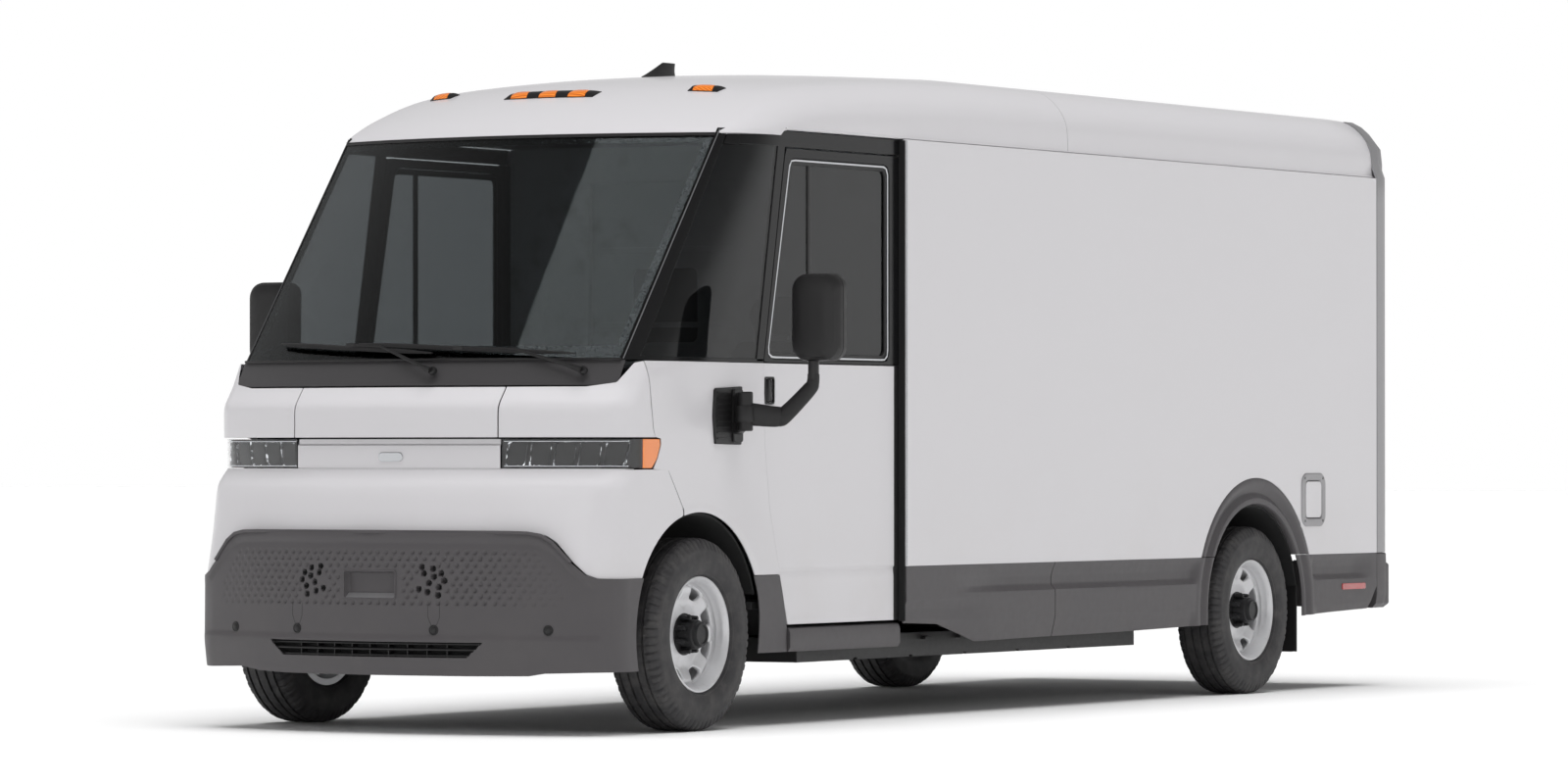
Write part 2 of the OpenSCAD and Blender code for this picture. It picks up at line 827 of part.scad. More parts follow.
module rear_door(side)
    color(white)
        placed()
            mirror([side > 0 ? 0 : 1, 0, 0]) {
                block([panel_gap / 2, gate_y1 + 0.5, gate_z0 - 30],
                      [leaf_out, gate_y1 + 0.5 + rear_door_t, gate_z1 + 16]);
                for (z = gate_hinges)
                    difference() {
                        union() {
                            translate([gate_pin[0], gate_pin[1], z + 31])
                                cylinder(h = 30, r = knuckle_r);
                            block([leaf_out - 5, gate_pin[1] - 6, z + 31],
                                  [gate_pin[0] - 4, gate_pin[1] + 6, z + 61]);
                        }
                        translate([gate_pin[0], gate_pin[1], z + 30])
                            cylinder(h = 32, r = pin_r + run_gap);
                    }
            }

module rear_bumper()
    color(dark)
        placed() {
            difference() {
                block([-pillar_out, cargo_y1 - 20, 352], [pillar_out, tail, 560]);
                block([-gate_half, cargo_y1 - 21, 400], [gate_half, tail - 60, 561]);
            }
            both_sides() {
                block([rail_out, 5700, 380], [pillar_out - 40, cargo_y1 - 10, 520]);
                block([clad_in - 90, 5886 + seat_gap, 500], [half_w, cargo_y1 - 15, clad_z1]);
            }
        }

module red_lenses()
    color(red)
        placed() {
            both_sides() {
                block([half_w + seat_gap, 5519, 439], [half_w + 5, 5763, 471]);
                block([896, gate_y1 + seat_gap, 1000], [944, gate_y1 + 16, 1400]);
            }
            for (x = [-150, 0, 150])
                block([x - 40, gate_y1 + seat_gap, 2400], [x + 40, gate_y1 + 14, 2428]);
        }

// ---- cab inside ----

gangway_x0 = -500;
gangway_x1 = 200;
gangway_z1 = 2150;
bulkhead_y0 = 1502;

module bulkhead()
    color(metal)
        placed()
            difference() {
                block([-pocket_in, bulkhead_y0, sill_z + seat_gap], [pocket_in, 1530, 2296]);
                block([gangway_x0, bulkhead_y0 - 1, sill_z], [gangway_x1, 1531, gangway_z1]);
            }

module bulkhead_door()
    color(metal)
        placed() {
            block([gangway_x0 - 30, 1530 + seat_gap, sill_z + 4],
                  [gangway_x1 + 30, 1556, gangway_z1 + 30]);
            block([gangway_x0 + 20, 1556, 1150], [gangway_x0 + 44, 1580, 1330]);
        }

wheel_spot = [450, 590, 1160];
column_tilt = 72;
column_l = 610;
wheel_ring = 190;

// Turns its children so that +Z runs up the steering column
module on_column()
    translate(wheel_spot)
        rotate([-column_tilt, 0, 0])
            children();

module dashboard()
    color(dark)
        placed() {
            difference() {
                side_plate([
                    [-380, 900], [-60, 900], [40, 980], [60, 1200], [20, 1330], [-120, 1385], [-380, 1372]
                ], -cab_half + cab_t + 1, cab_half - cab_t - 1);
                side_plate([
                    [-381, 912], [-64, 912], [28, 988], [46, 1200], [10, 1320], [-122, 1372], [-381, 1360]
                ], -cab_half + cab_t + 14, cab_half - cab_t - 14);
                both_sides()
                    block([cab_half - 72, -500, 980], [cab_half, -255, hood_z0 + 8]);
            }
            block([-300, -380, cab_floor_z], [300, -330, 900]);
            // Steering column
            on_column()
                translate([0, 0, -column_l])
                    cylinder(h = column_l - 40, r = 32);
            on_column()
                translate([0, 0, -45])
                    cylinder(h = 45 - 12, r = 14);
            // Display
            block([40, 62, 1150], [330, 84, 1330]);
            block([150, 55, 1200], [220, 62, 1280]);
        }

module steering_wheel()
    color(black)
        placed()
            on_column() {
                rotate_extrude($fn = 96)
                    translate([wheel_ring, 0])
                        circle(14, $fn = 24);
                difference() {
                    translate([0, 0, -24])
                        cylinder(h = 34, r = 50);
                    translate([0, 0, -25])
                        cylinder(h = 20, r = 14 + run_gap);
                }
                for (a = [0, 90, 180])
                    rotate([0, 0, a])
                        translate([40, -16, -10])
                            cube([wheel_ring - 48, 32, 12]);
            }

seat_x = 450;

module driver_seat()
    color(dark)
        placed() {
            block([seat_x - 150, 920, 740 + seat_gap], [seat_x + 150, 1220, 790]);
            block([seat_x - 250, 840, 790], [seat_x + 250, 1300, 900]);
            side_plate([[1230, 900], [1300, 790], [1360, 800], [1450, 1500], [1345, 1500]],
                       seat_x - 240, seat_x + 240);
            block([seat_x - 130, 1360, 1500], [seat_x + 130, 1450, 1680]);
        }

// ---- cab doors ----

handle_y = 488;
handle_z0 = 1242;
handle_z1 = 1343;
handle_pin = [cab_half - 14, handle_y + 10];

function door_window(d) = [
    [508 + 1.2 * d, belt_z + 12 + d], [676 + d, door_z1 - 38 - d], [1462 - d, door_z1 - 38 - d],
    [1462 - d, belt_z + 12 + d]
];

module door(side)
    color(white)
        placed()
            mirror([side > 0 ? 0 : 1, 0, 0])
                difference() {
                    union() {
                        side_plate(concat(
                            door_edge,
                            [[1590, door_z1], [1590, door_z0]]
                        ), cab_half - door_t, cab_half - 2);
                        // Feet that run on the track
                        for (y = [760, 1450])
                            block([cab_half - 36, y, door_z0 - panel_gap + seat_gap],
                                  [cab_half - 12, y + 60, door_z0 + 1]);
                    }
                    side_plate(door_window(0), cab_half - door_t - 1, cab_half);
                    block([cab_half - 28, handle_y, handle_z0],
                          [cab_half, handle_y + 74, handle_z1]);
                    // Hollow behind the outer skin
                    side_plate([[720, 430], [1550, 430], [1550, belt_z - 60], [640, belt_z - 60],
                                [640, 834]], cab_half - door_t - 1, cab_half - 16);
                }

module door_glass(side)
    color(clear)
        placed()
            mirror([side > 0 ? 0 : 1, 0, 0])
                side_plate(door_window(seat_gap), cab_half - 22, cab_half - 22 + glass_t);

module door_handle(side)
    color(black)
        placed()
            mirror([side > 0 ? 0 : 1, 0, 0]) {
                translate([handle_pin[0], handle_pin[1], handle_z0 + seat_gap])
                    cylinder(h = handle_z1 - handle_z0 - 2 * seat_gap, r = 5);
                block([cab_half - 16, handle_pin[1], handle_z0 + 3],
                      [cab_half - 8, handle_y + 70, handle_z1 - 3]);
            }

// ---- mirrors ----

bracket_out = cab_half + 14;
arm_pin = [1004, 225];
arm_z0 = 1135;
arm_z1 = 1285;
neck = [1238, 340, 1380];

module mirror_brackets()
    color(dark)
        placed()
            both_sides() {
                side_plate([[110, 1086], [300, 1083], [306, 1306], [106, 1298], [96, 1190]],
                           cab_half + seat_gap, bracket_out);
                difference() {
                    block([bracket_out - 1, arm_pin[1] - 24, arm_z0 + 30],
                          [arm_pin[0] + 2, arm_pin[1] + 24, arm_z1 - 22]);
                    translate([arm_pin[0], arm_pin[1], arm_z0])
                        cylinder(h = 200, r = 30.4);
                }
                translate([arm_pin[0], arm_pin[1], arm_z0 + 30 + seat_gap])
                    cylinder(h = arm_z1 - arm_z0 - 60, r = 12);
                block([arm_pin[0] - 32, arm_pin[1] - 10, arm_z1 - 60],
                      [arm_pin[0], arm_pin[1] + 10, arm_z1 - 45]);
            }

module mirror_arm(side)
    color(dark)
        placed()
            mirror([side > 0 ? 0 : 1, 0, 0]) {
                difference() {
                    translate([arm_pin[0], arm_pin[1], arm_z0])
                        cylinder(h = 80, r = 30);
                    translate([arm_pin[0], arm_pin[1], arm_z0 + 29])
                        cylinder(h = 80, r = 12 + run_gap);
                }
                hull() {
                    translate([arm_pin[0] + 20, arm_pin[1], arm_z0 + 14])
                        sphere(14, $fn = 24);
                    translate([arm_pin[0] + 20, arm_pin[1], arm_z0 + 45])
                        sphere(14, $fn = 24);
                    translate([1122, 292, arm_z0 + 15])
                        sphere(15, $fn = 24);
                    translate([1122, 292, arm_z0 + 58])
                        sphere(15, $fn = 24);
                }
                hull() {
                    translate([1122, 292, arm_z0 + 15])
                        sphere(15, $fn = 24);
                    translate([1122, 292, arm_z0 + 58])
                        sphere(15, $fn = 24);
                    translate([neck[0] - 14, neck[1], neck[2] - 30])
                        sphere(16, $fn = 24);
                    translate([neck[0] + 14, neck[1], neck[2] - 26])
                        sphere(16, $fn = 24);
                }
                translate([neck[0], neck[1], neck[2] - 30])
                    cylinder(h = 30, r = 26);
                translate([neck[0], neck[1], neck[2] - 10])
                    cylinder(h = 50, r = 10);
            }

head_low = [1151, 300, neck[2] + 22];
head_high = [1361, 385, 1733];

// Outline of the mirror's head seen from the front, shrunk by d, with round corners
function rounded(low, high, d, r) = [
    for (q = [[1, 1, 0], [-1, 1, 90], [-1, -1, 180], [1, -1, 270]], a = [0 : 15 : 90])
        [(q[0] > 0 ? high[0] - d - r : low[0] + d + r) + r * cos(q[2] + a),
         (q[1] > 0 ? high[2] - d - r : low[2] + d + r) + r * sin(q[2] + a)]
];

module mirror_head(side)
    color(dark)
        placed()
            mirror([side > 0 ? 0 : 1, 0, 0])
                difference() {
                    union() {
                        front_plate(rounded(head_low, head_high, 0, 26), head_low[1] + 20, head_high[1]);
                        front_plate(rounded(head_low, head_high, 10, 26), head_low[1], head_low[1] + 21);
                        translate([neck[0], neck[1], neck[2] + seat_gap])
                            cylinder(h = 40, r = 24);
                    }
                    translate([neck[0], neck[1], neck[2] - 1])
                        cylinder(h = 42, r = 10 + run_gap);
                    block([head_low[0] + 14, head_high[1] - 8, head_low[2] + 14],
                          [head_high[0] - 14, head_high[1] + 1, head_high[2] - 14]);
                }

module mirror_glass(side)
    color(metal)
        placed()
            mirror([side > 0 ? 0 : 1, 0, 0])
                block([head_low[0] + 14 + seat_gap, head_high[1] - 8 + seat_gap,
                       head_low[2] + 14 + seat_gap],
                      [head_high[0] - 14 - seat_gap, head_high[1] - 3,
                       head_high[2] - 14 - seat_gap]);

// ---- wipers ----

// Each wiper: spindle x, sideways tilt of the spindle, knee x, blade from x to x
wipers = [[740, 0, 520, 690, -240], [150, 0.15, -70, 120, -660]];
wiper_pin_r = 9;
wiper_lift = 22;
spindle_z = 1362;
blade_z0 = 1424;
blade_z1 = 1466;
glass_lean = atan2(glass_high[0] - glass_low[0], glass_high[1] - glass_low[1]);

// A point lying lift in front of the windshield, at x and at height z
function on_glass(x, z, lift) = [
    x,
    glass_low[0] + (z - glass_low[1]) * tan(glass_lean) + bow_back(x) - lift * cos(glass_lean),
    z + lift * sin(glass_lean)
];

// Turns +Z along a wiper's spindle, starting a depth in front of the glass
module on_spindle(w, depth)
    translate(on_glass(w[0], spindle_z, 0))
        rotate([90 - glass_lean, 0, 0])
            rotate([0, -atan(w[1]), 0])
                translate([0, 0, depth])
                    children();

// Place of a blade at the share t of its length
function blade_at(w, t) =
    on_glass(w[3] + (w[4] - w[3]) * t, blade_z0 + (blade_z1 - blade_z0) * t, wiper_lift);

module rod(from, to, r0, r1)
    hull() {
        translate(from)
            sphere(r0, $fn = 16);
        translate(to)
            sphere(r1, $fn = 16);
    }

module wiper(w) {
    knee = on_glass(w[2], 1428, 38);
    grip = on_glass((w[3] + w[4]) / 2, (blade_z0 + blade_z1) / 2, 34);
    blade_steps = 5;
    color(black)
        placed() {
            on_spindle(w, -26)
                cylinder(h = 62, r = wiper_pin_r);
            on_spindle(w, 14)
                cylinder(h = 24, r = 17);
            rod(on_glass(w[0], spindle_z + 6, 30), knee, 9, 7);
            rod(knee, grip, 7, 6);
            for (i = [0 : blade_steps - 1])
                rod(blade_at(w, i / blade_steps), blade_at(w, (i + 1) / blade_steps), 6, 6);
        }
}

// ---- wheels ----

hub_x = tyre_x + 15;
rim_half = 90;
lip_t = 9;
bead_half = rim_half - lip_t - seat_gap;
rim_out = tyre_x + rim_half;
rim_in = tyre_x - rim_half;
flange_r = bead_r + 17.5;

// A tyre with a round shoulder and its bead on the rim
module tyre(y, side)
    color(black)
        placed()
            translate([side * tyre_x, y, hub_z])
                rotate([0, 90, 0])
                    rotate_extrude($fn = 128)
                        difference() {
                            polygon(tyre_section());
                            polygon([
                                [bead_r - 1, -bead_half + 14], [flange_r + 60, -tyre_w / 2 + 15],
                                [tyre_r - 40, -tyre_w / 2 + 24], [tyre_r - 18, -tyre_w / 2 + 46],
                                [tyre_r - 18, tyre_w / 2 - 46], [tyre_r - 40, tyre_w / 2 - 24],
                                [flange_r + 60, tyre_w / 2 - 15], [bead_r - 1, bead_half - 14]
                            ]);
                        }

// Half of a tyre's outline, [radius, offset], from the bead to the tread
function tyre_half() = [
    [bead_r, bead_half], [flange_r + seat_gap, bead_half], [flange_r + seat_gap, rim_half],
    [flange_r + 14, tyre_w / 2 - 10], [bead_r + 70, tyre_w / 2], [tyre_r - 55, tyre_w / 2 - 4],
    [tyre_r - 16, tyre_w / 2 - 18], [tyre_r, tyre_w / 2 - 36]
];
function tyre_section() =
    concat([for (p = tyre_half()) [p[0], -p[1]]], reversed(tyre_half()));

hand_holes = 8;

// A steel wheel with its hub: the disc is dished outwards
module wheel(y, side)
    color(metal)
        placed()
            translate([0, y, hub_z])
                mirror([side > 0 ? 0 : 1, 0, 0])
                    rotate([0, 90, 0])
                        difference() {
                            rotate_extrude($fn = 96)
                                union() {
                                    polygon([
                                        [bead_r - 8, rim_in], [flange_r, rim_in],
                                        [flange_r, rim_in + lip_t], [bead_r, rim_in + lip_t],
                                        [bead_r, rim_out - lip_t], [flange_r, rim_out - lip_t],
                                        [flange_r, rim_out], [bead_r - 8, rim_out]
                                    ]);
                                    polygon([
                                        [spindle_r + run_gap, hub_x - 60], [82, hub_x - 60],
                                        [82, hub_x + 20], [150, hub_x + 20],
                                        [bead_r - 7, hub_x + 44], [bead_r - 7, hub_x + 58],
                                        [144, hub_x + 34], [82, hub_x + 34], [78, hub_x + 88],
                                        [0, hub_x + 88], [0, hub_x + 62],
                                        [spindle_r + run_gap, hub_x + 62]
                                    ]);
                                }
                            for (i = [0 : hand_holes - 1])
                                rotate([0, 0, i * 360 / hand_holes])
                                    translate([168, 0, hub_x - 20])
                                        cylinder(h = 120, r = 17);
                        }

module knuckle(side)
    color(metal)
        placed()
            mirror([side > 0 ? 0 : 1, 0, 0]) {
                translate([kingpin_x, 0, arm_z + 24 + seat_gap])
                    cylinder(h = 470 - arm_z - 24 - seat_gap, r = 26);
                bar_x(kingpin_x, hub_x - 62, 0, hub_z, 38);
                bar_x(kingpin_x, hub_x + 60, 0, hub_z, spindle_r);
            }

chassis_frame();
battery_pack();
floor_pan();
front_fascia();
fenders();
front_bumper();
bumper_grille();
nose_panel();
headlamp_housings();
headlamp_lenses();
windshield();
cowl_panel();
window_frames();
quarter_windows();
roof_cap();
cargo_roof();
cargo_sides();
rear_frame();
rear_bumper();
side_cladding();
roof_fittings();
amber_lenses();
red_lenses();
bulkhead();
dashboard();
suspension();
wheel_liners();
charge_port_frame();
mirror_brackets();
tyre(0, 1);  // tyre_front_left
tyre(0, -1);  // tyre_front_right
tyre(rear_axle, 1);  // tyre_rear_left
tyre(rear_axle, -1);  // tyre_rear_right
wheel(0, 1);  // wheel_front_left
wheel(0, -1);  // wheel_front_right
wheel(rear_axle, 1);  // wheel_rear_left
wheel(rear_axle, -1);  // wheel_rear_right
knuckle(1);  // knuckle_left
knuckle(-1);  // knuckle_right
door(1);  // door_left
door(-1);  // door_right
door_glass(1);  // door_glass_left
door_glass(-1);  // door_glass_right
door_handle(1);  // door_handle_left
door_handle(-1);  // door_handle_right
rear_door(1);  // rear_door_left
rear_door(-1);  // rear_door_right
mirror_arm(1);  // mirror_arm_left
mirror_arm(-1);  // mirror_arm_right
mirror_head(1);  // mirror_head_left
mirror_head(-1);  // mirror_head_right
mirror_glass(1);  // mirror_glass_left
mirror_glass(-1);  // mirror_glass_right
wiper(wipers[0]);  // wiper_left
wiper(wipers[1]);  // wiper_right
steering_wheel();
driver_seat();
hood();
charge_flap();
bulkhead_door();
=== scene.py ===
"""Electric walk-in delivery truck: the looks of every piece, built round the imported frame."""
import math
import random

import bmesh
import bpy
from mathutils import Matrix, Vector


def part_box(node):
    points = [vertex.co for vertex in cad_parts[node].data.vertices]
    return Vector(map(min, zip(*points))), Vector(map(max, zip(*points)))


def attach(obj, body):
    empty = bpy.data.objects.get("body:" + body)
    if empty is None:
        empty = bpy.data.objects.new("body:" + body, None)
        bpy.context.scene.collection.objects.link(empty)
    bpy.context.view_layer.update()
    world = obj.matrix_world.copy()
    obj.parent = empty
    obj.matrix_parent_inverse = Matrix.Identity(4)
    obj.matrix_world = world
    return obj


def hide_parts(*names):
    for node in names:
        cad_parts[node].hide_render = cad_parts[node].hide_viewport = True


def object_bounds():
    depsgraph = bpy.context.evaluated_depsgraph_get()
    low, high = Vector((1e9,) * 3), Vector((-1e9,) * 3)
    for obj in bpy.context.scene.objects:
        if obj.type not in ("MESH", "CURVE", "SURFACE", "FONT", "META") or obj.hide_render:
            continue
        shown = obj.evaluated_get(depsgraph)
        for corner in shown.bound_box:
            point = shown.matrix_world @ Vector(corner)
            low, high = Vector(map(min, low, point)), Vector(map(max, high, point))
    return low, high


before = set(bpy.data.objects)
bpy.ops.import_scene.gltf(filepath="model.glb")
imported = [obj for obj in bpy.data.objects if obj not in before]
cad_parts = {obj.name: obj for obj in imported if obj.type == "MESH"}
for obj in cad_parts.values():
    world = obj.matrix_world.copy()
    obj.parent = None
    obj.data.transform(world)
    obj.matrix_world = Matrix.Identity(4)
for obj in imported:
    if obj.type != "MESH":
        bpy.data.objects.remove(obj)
CAD_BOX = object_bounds()

# -------- sizes, in millimetres
# Places along the truck are distances behind the front axle, called a.
WHEEL_LOW, WHEEL_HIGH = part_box("tyre_front_left")
REAR_LOW, REAR_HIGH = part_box("tyre_rear_left")
FRONT_AXLE_Y = (WHEEL_LOW.y + WHEEL_HIGH.y) / 2
REAR_AXLE = ((REAR_LOW.y + REAR_HIGH.y) / 2 - FRONT_AXLE_Y) * 1000
TYRE_R = WHEEL_HIGH.z * 500
TYRE_X = (WHEEL_LOW.x + WHEEL_HIGH.x) * 500
TYRE_W = (WHEEL_HIGH.x - WHEEL_LOW.x) * 1000
HUB_Z = TYRE_R
TIP = (CAD_BOX[0].y - FRONT_AXLE_Y) * 1000
TAIL = (CAD_BOX[1].y - FRONT_AXLE_Y) * 1000
BODY_X = 965
CAB_X = 935
BELT_Z = 1400
NOSE_R = 2174
ARCH_R = 462
FLARE_R = 578
SKIRT_Z = 602
ROOF_Z = 2300
CROWN_Z = 2605
ROOF_SEAM = 2960
CARGO_FRONT = 1545
CARGO_REAR = 5940
GAP = 4
HOOD_HALF = 460
REAR_FACE = 6001
PORT_A, PORT_Z = 5227.5, 846


def metres(p):
    """A place given as (x, a, z) in millimetres, in the frame's metres."""
    return Vector((p[0] / 1000, p[1] / 1000 + FRONT_AXLE_Y, p[2] / 1000))


# -------- small maths
def mix(a, b, t):
    return a + (b - a) * t


def clamp(v, low=0.0, high=1.0):
    return max(low, min(high, v))


def ease(low, high, v):
    t = clamp((v - low) / (high - low))
    return t * t * (3 - 2 * t)


def steps(low, high, n):
    return [mix(low, high, i / n) for i in range(n + 1)]


def along(points, v, key=0, want=1):
    """The value want of a broken line at the place where its value key is v."""
    for p, q in zip(points, points[1:]):
        if v <= q[key]:
            span = q[key] - p[key]
            return p[want] if span == 0 else mix(p[want], q[want], clamp((v - p[key]) / span, -9, 1))
    p, q = points[-2:]
    return mix(p[want], q[want], (v - p[key]) / (q[key] - p[key]))


def resample(points, n):
    """n + 1 points, evenly spaced along a broken line."""
    lengths = [0]
    for p, q in zip(points, points[1:]):
        lengths.append(lengths[-1] + math.dist(p, q))
    out, k = [], 0
    for i in range(n + 1):
        d = lengths[-1] * i / n
        while k < len(points) - 2 and lengths[k + 1] < d:
            k += 1
        span = lengths[k + 1] - lengths[k] or 1
        t = (d - lengths[k]) / span
        out.append(tuple(mix(a, b, t) for a, b in zip(points[k], points[k + 1])))
    return out


def curve(points, per=8):
    """A smooth line through points."""
    out = []
    ends = [points[0], *points, points[-1]]
    for i in range(1, len(ends) - 2):
        p0, p1, p2, p3 = ends[i - 1:i + 3]
        for k in range(per):
            t = k / per
            out.append(tuple(
                0.5 * (2 * b + (c - a) * t + (2 * a - 5 * b + 4 * c - d) * t * t
                       + (3 * b - a - 3 * c + d) * t ** 3)
                for a, b, c, d in zip(p0, p1, p2, p3)))
    out.append(tuple(points[-1]))
    return out


def turns(count):
    """Evenly spaced angles of a full turn."""
    return [2 * math.pi * k / count for k in range(count)]


def arc(cx, cy, r, start, end, n):
    """Points of an arc round (cx, cy); angles in degrees."""
    return [(cx + r * math.cos(math.radians(t)), cy + r * math.sin(math.radians(t)))
            for t in steps(start, end, n)]


def round_rect(x0, y0, x1, y1, r, n=5):
    """Closed outline of a rectangle with round corners."""
    out = []
    for cx, cy, start in ((x1 - r, y1 - r, 0), (x0 + r, y1 - r, 90), (x0 + r, y0 + r, 180),
                          (x1 - r, y0 + r, 270)):
        out += arc(cx, cy, r, start, start + 90, n)
    return out


def coons(bottom, top, left, right, across, up):
    """A grid between four edge lines, each a list of points; rows run from bottom to top."""
    bottom, top = resample(bottom, across), resample(top, across)
    left, right = resample(left, up), resample(right, up)
    grid = []
    for j in range(up + 1):
        v = j / up
        row = []
        for i in range(across + 1):
            u = i / across
            row.append(tuple(
                (1 - v) * b + v * t + (1 - u) * lft + u * r
                - (1 - u) * (1 - v) * c00 - u * (1 - v) * c10 - (1 - u) * v * c01 - u * v * c11
                for b, t, lft, r, c00, c10, c01, c11 in zip(
                    bottom[i], top[i], left[j], right[j], bottom[0], bottom[-1], top[0], top[-1])))
        grid.append(row)
    return grid


# -------- mesh making
def linked(name, data):
    """A new object in the scene."""
    piece = bpy.data.objects.new(name, data)
    bpy.context.scene.collection.objects.link(piece)
    return piece


def mesh_piece(name, points, faces, material, smooth=35):
    """A mesh from points in millimetres and faces; edges sharper than smooth degrees stay crisp."""
    mesh = bpy.data.meshes.new(name)
    mesh.from_pydata([metres(p) for p in points], [], faces)
    b = bmesh.new()
    b.from_mesh(mesh)
    bmesh.ops.remove_doubles(b, verts=b.verts, dist=0.00002)
    bmesh.ops.recalc_face_normals(b, faces=b.faces)
    b.to_mesh(mesh)
    b.free()
    mesh.shade_smooth()
    mesh.set_sharp_from_angle(angle=math.radians(smooth))
    piece = linked(name, mesh)
    mesh.materials.append(material)
    return piece


def soften(piece, width=2.5, segments=2, angle=40):
    """Rounds a piece's hard edges; width in millimetres."""
    bevel = piece.modifiers.new("edge", "BEVEL")
    bevel.width = width / 1000
    bevel.segments = segments
    bevel.limit_method = "ANGLE"
    bevel.angle_limit = math.radians(angle)
    bevel.harden_normals = True
    return piece


def put(piece, body, slot, *nodes):
    """Gives a piece its body and hides the CAD nodes it stands for; slot is not used."""
    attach(piece, body)
    if nodes:
        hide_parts(*nodes)
    return piece


def fixed(piece, slot, *nodes):
    """Puts a piece on the truck's own body."""
    return put(piece, "truck_body", slot, *nodes)


def grid_faces(rows, columns, start=0, closed=False):
    last = columns if closed else columns - 1
    return [(start + j * columns + i, start + j * columns + (i + 1) % columns,
             start + (j + 1) * columns + (i + 1) % columns, start + (j + 1) * columns + i)
            for j in range(rows - 1) for i in range(last)]


def panel(name, grid, material, thick=4.0, flip=False):
    """A sheet with the outer face on grid, a turned edge all round and an inner face."""
    rows, columns = len(grid), len(grid[0])
    outer = [Vector(p) for row in grid for p in row]
    inner = []
    for j in range(rows):
        for i in range(columns):
            across = Vector(grid[j][min(i + 1, columns - 1)]) - Vector(grid[j][max(i - 1, 0)])
            up = Vector(grid[min(j + 1, rows - 1)][i]) - Vector(grid[max(j - 1, 0)][i])
            n = across.cross(up)
            n = n.normalized() if n.length > 1e-9 else Vector((0, 0, 1))
            inner.append(outer[j * columns + i] + n * (thick if flip else -thick))
    faces = grid_faces(rows, columns)
    count = rows * columns
    faces += [tuple(count + k for k in reversed(f)) for f in grid_faces(rows, columns)]
    edge = list(range(columns))
    edge += [j * columns + columns - 1 for j in range(1, rows)]
    edge += [(rows - 1) * columns + i for i in range(columns - 2, -1, -1)]
    edge += [j * columns for j in range(rows - 2, 0, -1)]
    for a, b in zip(edge, edge[1:] + edge[:1]):
        faces.append((a, b, count + b, count + a))
    return mesh_piece(name, outer + inner, faces, material)


def loft(name, rings, material, closed=True, caps=True, smooth=35):
    """Joins rings that have the same number of points."""
    n = len(rings[0])
    points = [p for ring in rings for p in ring]
    faces = grid_faces(len(rings), n, closed=closed)
    if caps:
        faces.append(tuple(range(n - 1, -1, -1)))
        faces.append(tuple((len(rings) - 1) * n + i for i in range(n)))
    return mesh_piece(name, points, faces, material, smooth)


def prism(name, outline, low, high, axis, material, edge=2.0):
    """An outline pushed from low to high along x, y (a) or z, with rounded edges."""
    def place(p, d):
        return {"x": (d, p[0], p[1]), "y": (p[0], d, p[1]), "z": (p[0], p[1], d)}[axis]
    piece = loft(name, [[place(p, low) for p in outline], [place(p, high) for p in outline]], material)
    return soften(piece, edge) if edge else piece


def slab(name, low, high, material, edge=2.0):
    """A rounded block between two corners."""
    outline = [(low[0], low[1]), (high[0], low[1]), (high[0], high[1]), (low[0], high[1])]
    return prism(name, outline, low[2], high[2], "z", material, edge)


def tube(name, path, radius, material, sides=12):
    """A round bar along a path; radius is one number or one for each point."""
    path = [Vector(p) for p in path]
    radii = radius if isinstance(radius, list) else [radius] * len(path)
    rings = []
    side = None
    for i, p in enumerate(path):
        way = (path[min(i + 1, len(path) - 1)] - path[max(i - 1, 0)]).normalized()
        if side is None:
            side = way.orthogonal().normalized()
        side = (side - way * side.dot(way)).normalized()
        other = way.cross(side)
        rings.append([p + (side * math.cos(t) + other * math.sin(t)) * radii[i]
                      for t in turns(sides)])
    return loft(name, rings, material)


def lathe_points(profile, count, centre, axis="x", way=1):
    """Rings of a turned shape: profile is (radius, offset) along the axis."""
    rings = []
    for r, d in profile:
        ring = []
        for t in turns(count):
            u, v = r * math.cos(t), r * math.sin(t)
            if axis == "x":
                ring.append((centre[0] + way * d, centre[1] + u, centre[2] + v))
            elif axis == "y":
                ring.append((centre[0] + u, centre[1] + way * d, centre[2] + v))
            else:
                ring.append((centre[0] + u, centre[1] + v, centre[2] + way * d))
        rings.append(ring)
    return rings


def lathe(name, profile, count, centre, material, axis="x", way=1, smooth=35):
    """A turned shape; a profile that starts or ends at radius 0 closes there."""
    rings = lathe_points([(max(r, 0.01), d) for r, d in profile], count, centre, axis, way)
    return loft(name, rings, material, caps=False, smooth=smooth)


def join(name, pieces):
    """Joins pieces into one, with their modifiers applied."""
    bpy.context.view_layer.update()
    graph = bpy.context.evaluated_depsgraph_get()
    whole = bmesh.new()
    slots = []
    for piece in pieces:
        shape = bpy.data.meshes.new_from_object(piece.evaluated_get(graph))
        shape.transform(piece.matrix_world)
        places = []
        for m in shape.materials:
            if m not in slots:
                slots.append(m)
            places.append(slots.index(m))
        for f in shape.polygons:
            f.material_index = places[f.material_index] if places else 0
        whole.from_mesh(shape)
        bpy.data.meshes.remove(shape)
    mesh = bpy.data.meshes.new(name)
    whole.to_mesh(mesh)
    whole.free()
    for m in slots:
        mesh.materials.append(m)
    for piece in pieces:
        bpy.data.objects.remove(piece)
    return linked(name, mesh)


def mirrored(piece, name):
    """A copy of a piece on the truck's other side."""
    mesh = piece.data.copy()
    mesh.transform(Matrix.Scale(-1, 4, (1, 0, 0)))
    mesh.flip_normals()
    copy = linked(name, mesh)
    for m in piece.modifiers:
        if m.type == "BEVEL":
            soften(copy, m.width * 1000, m.segments)
    return copy


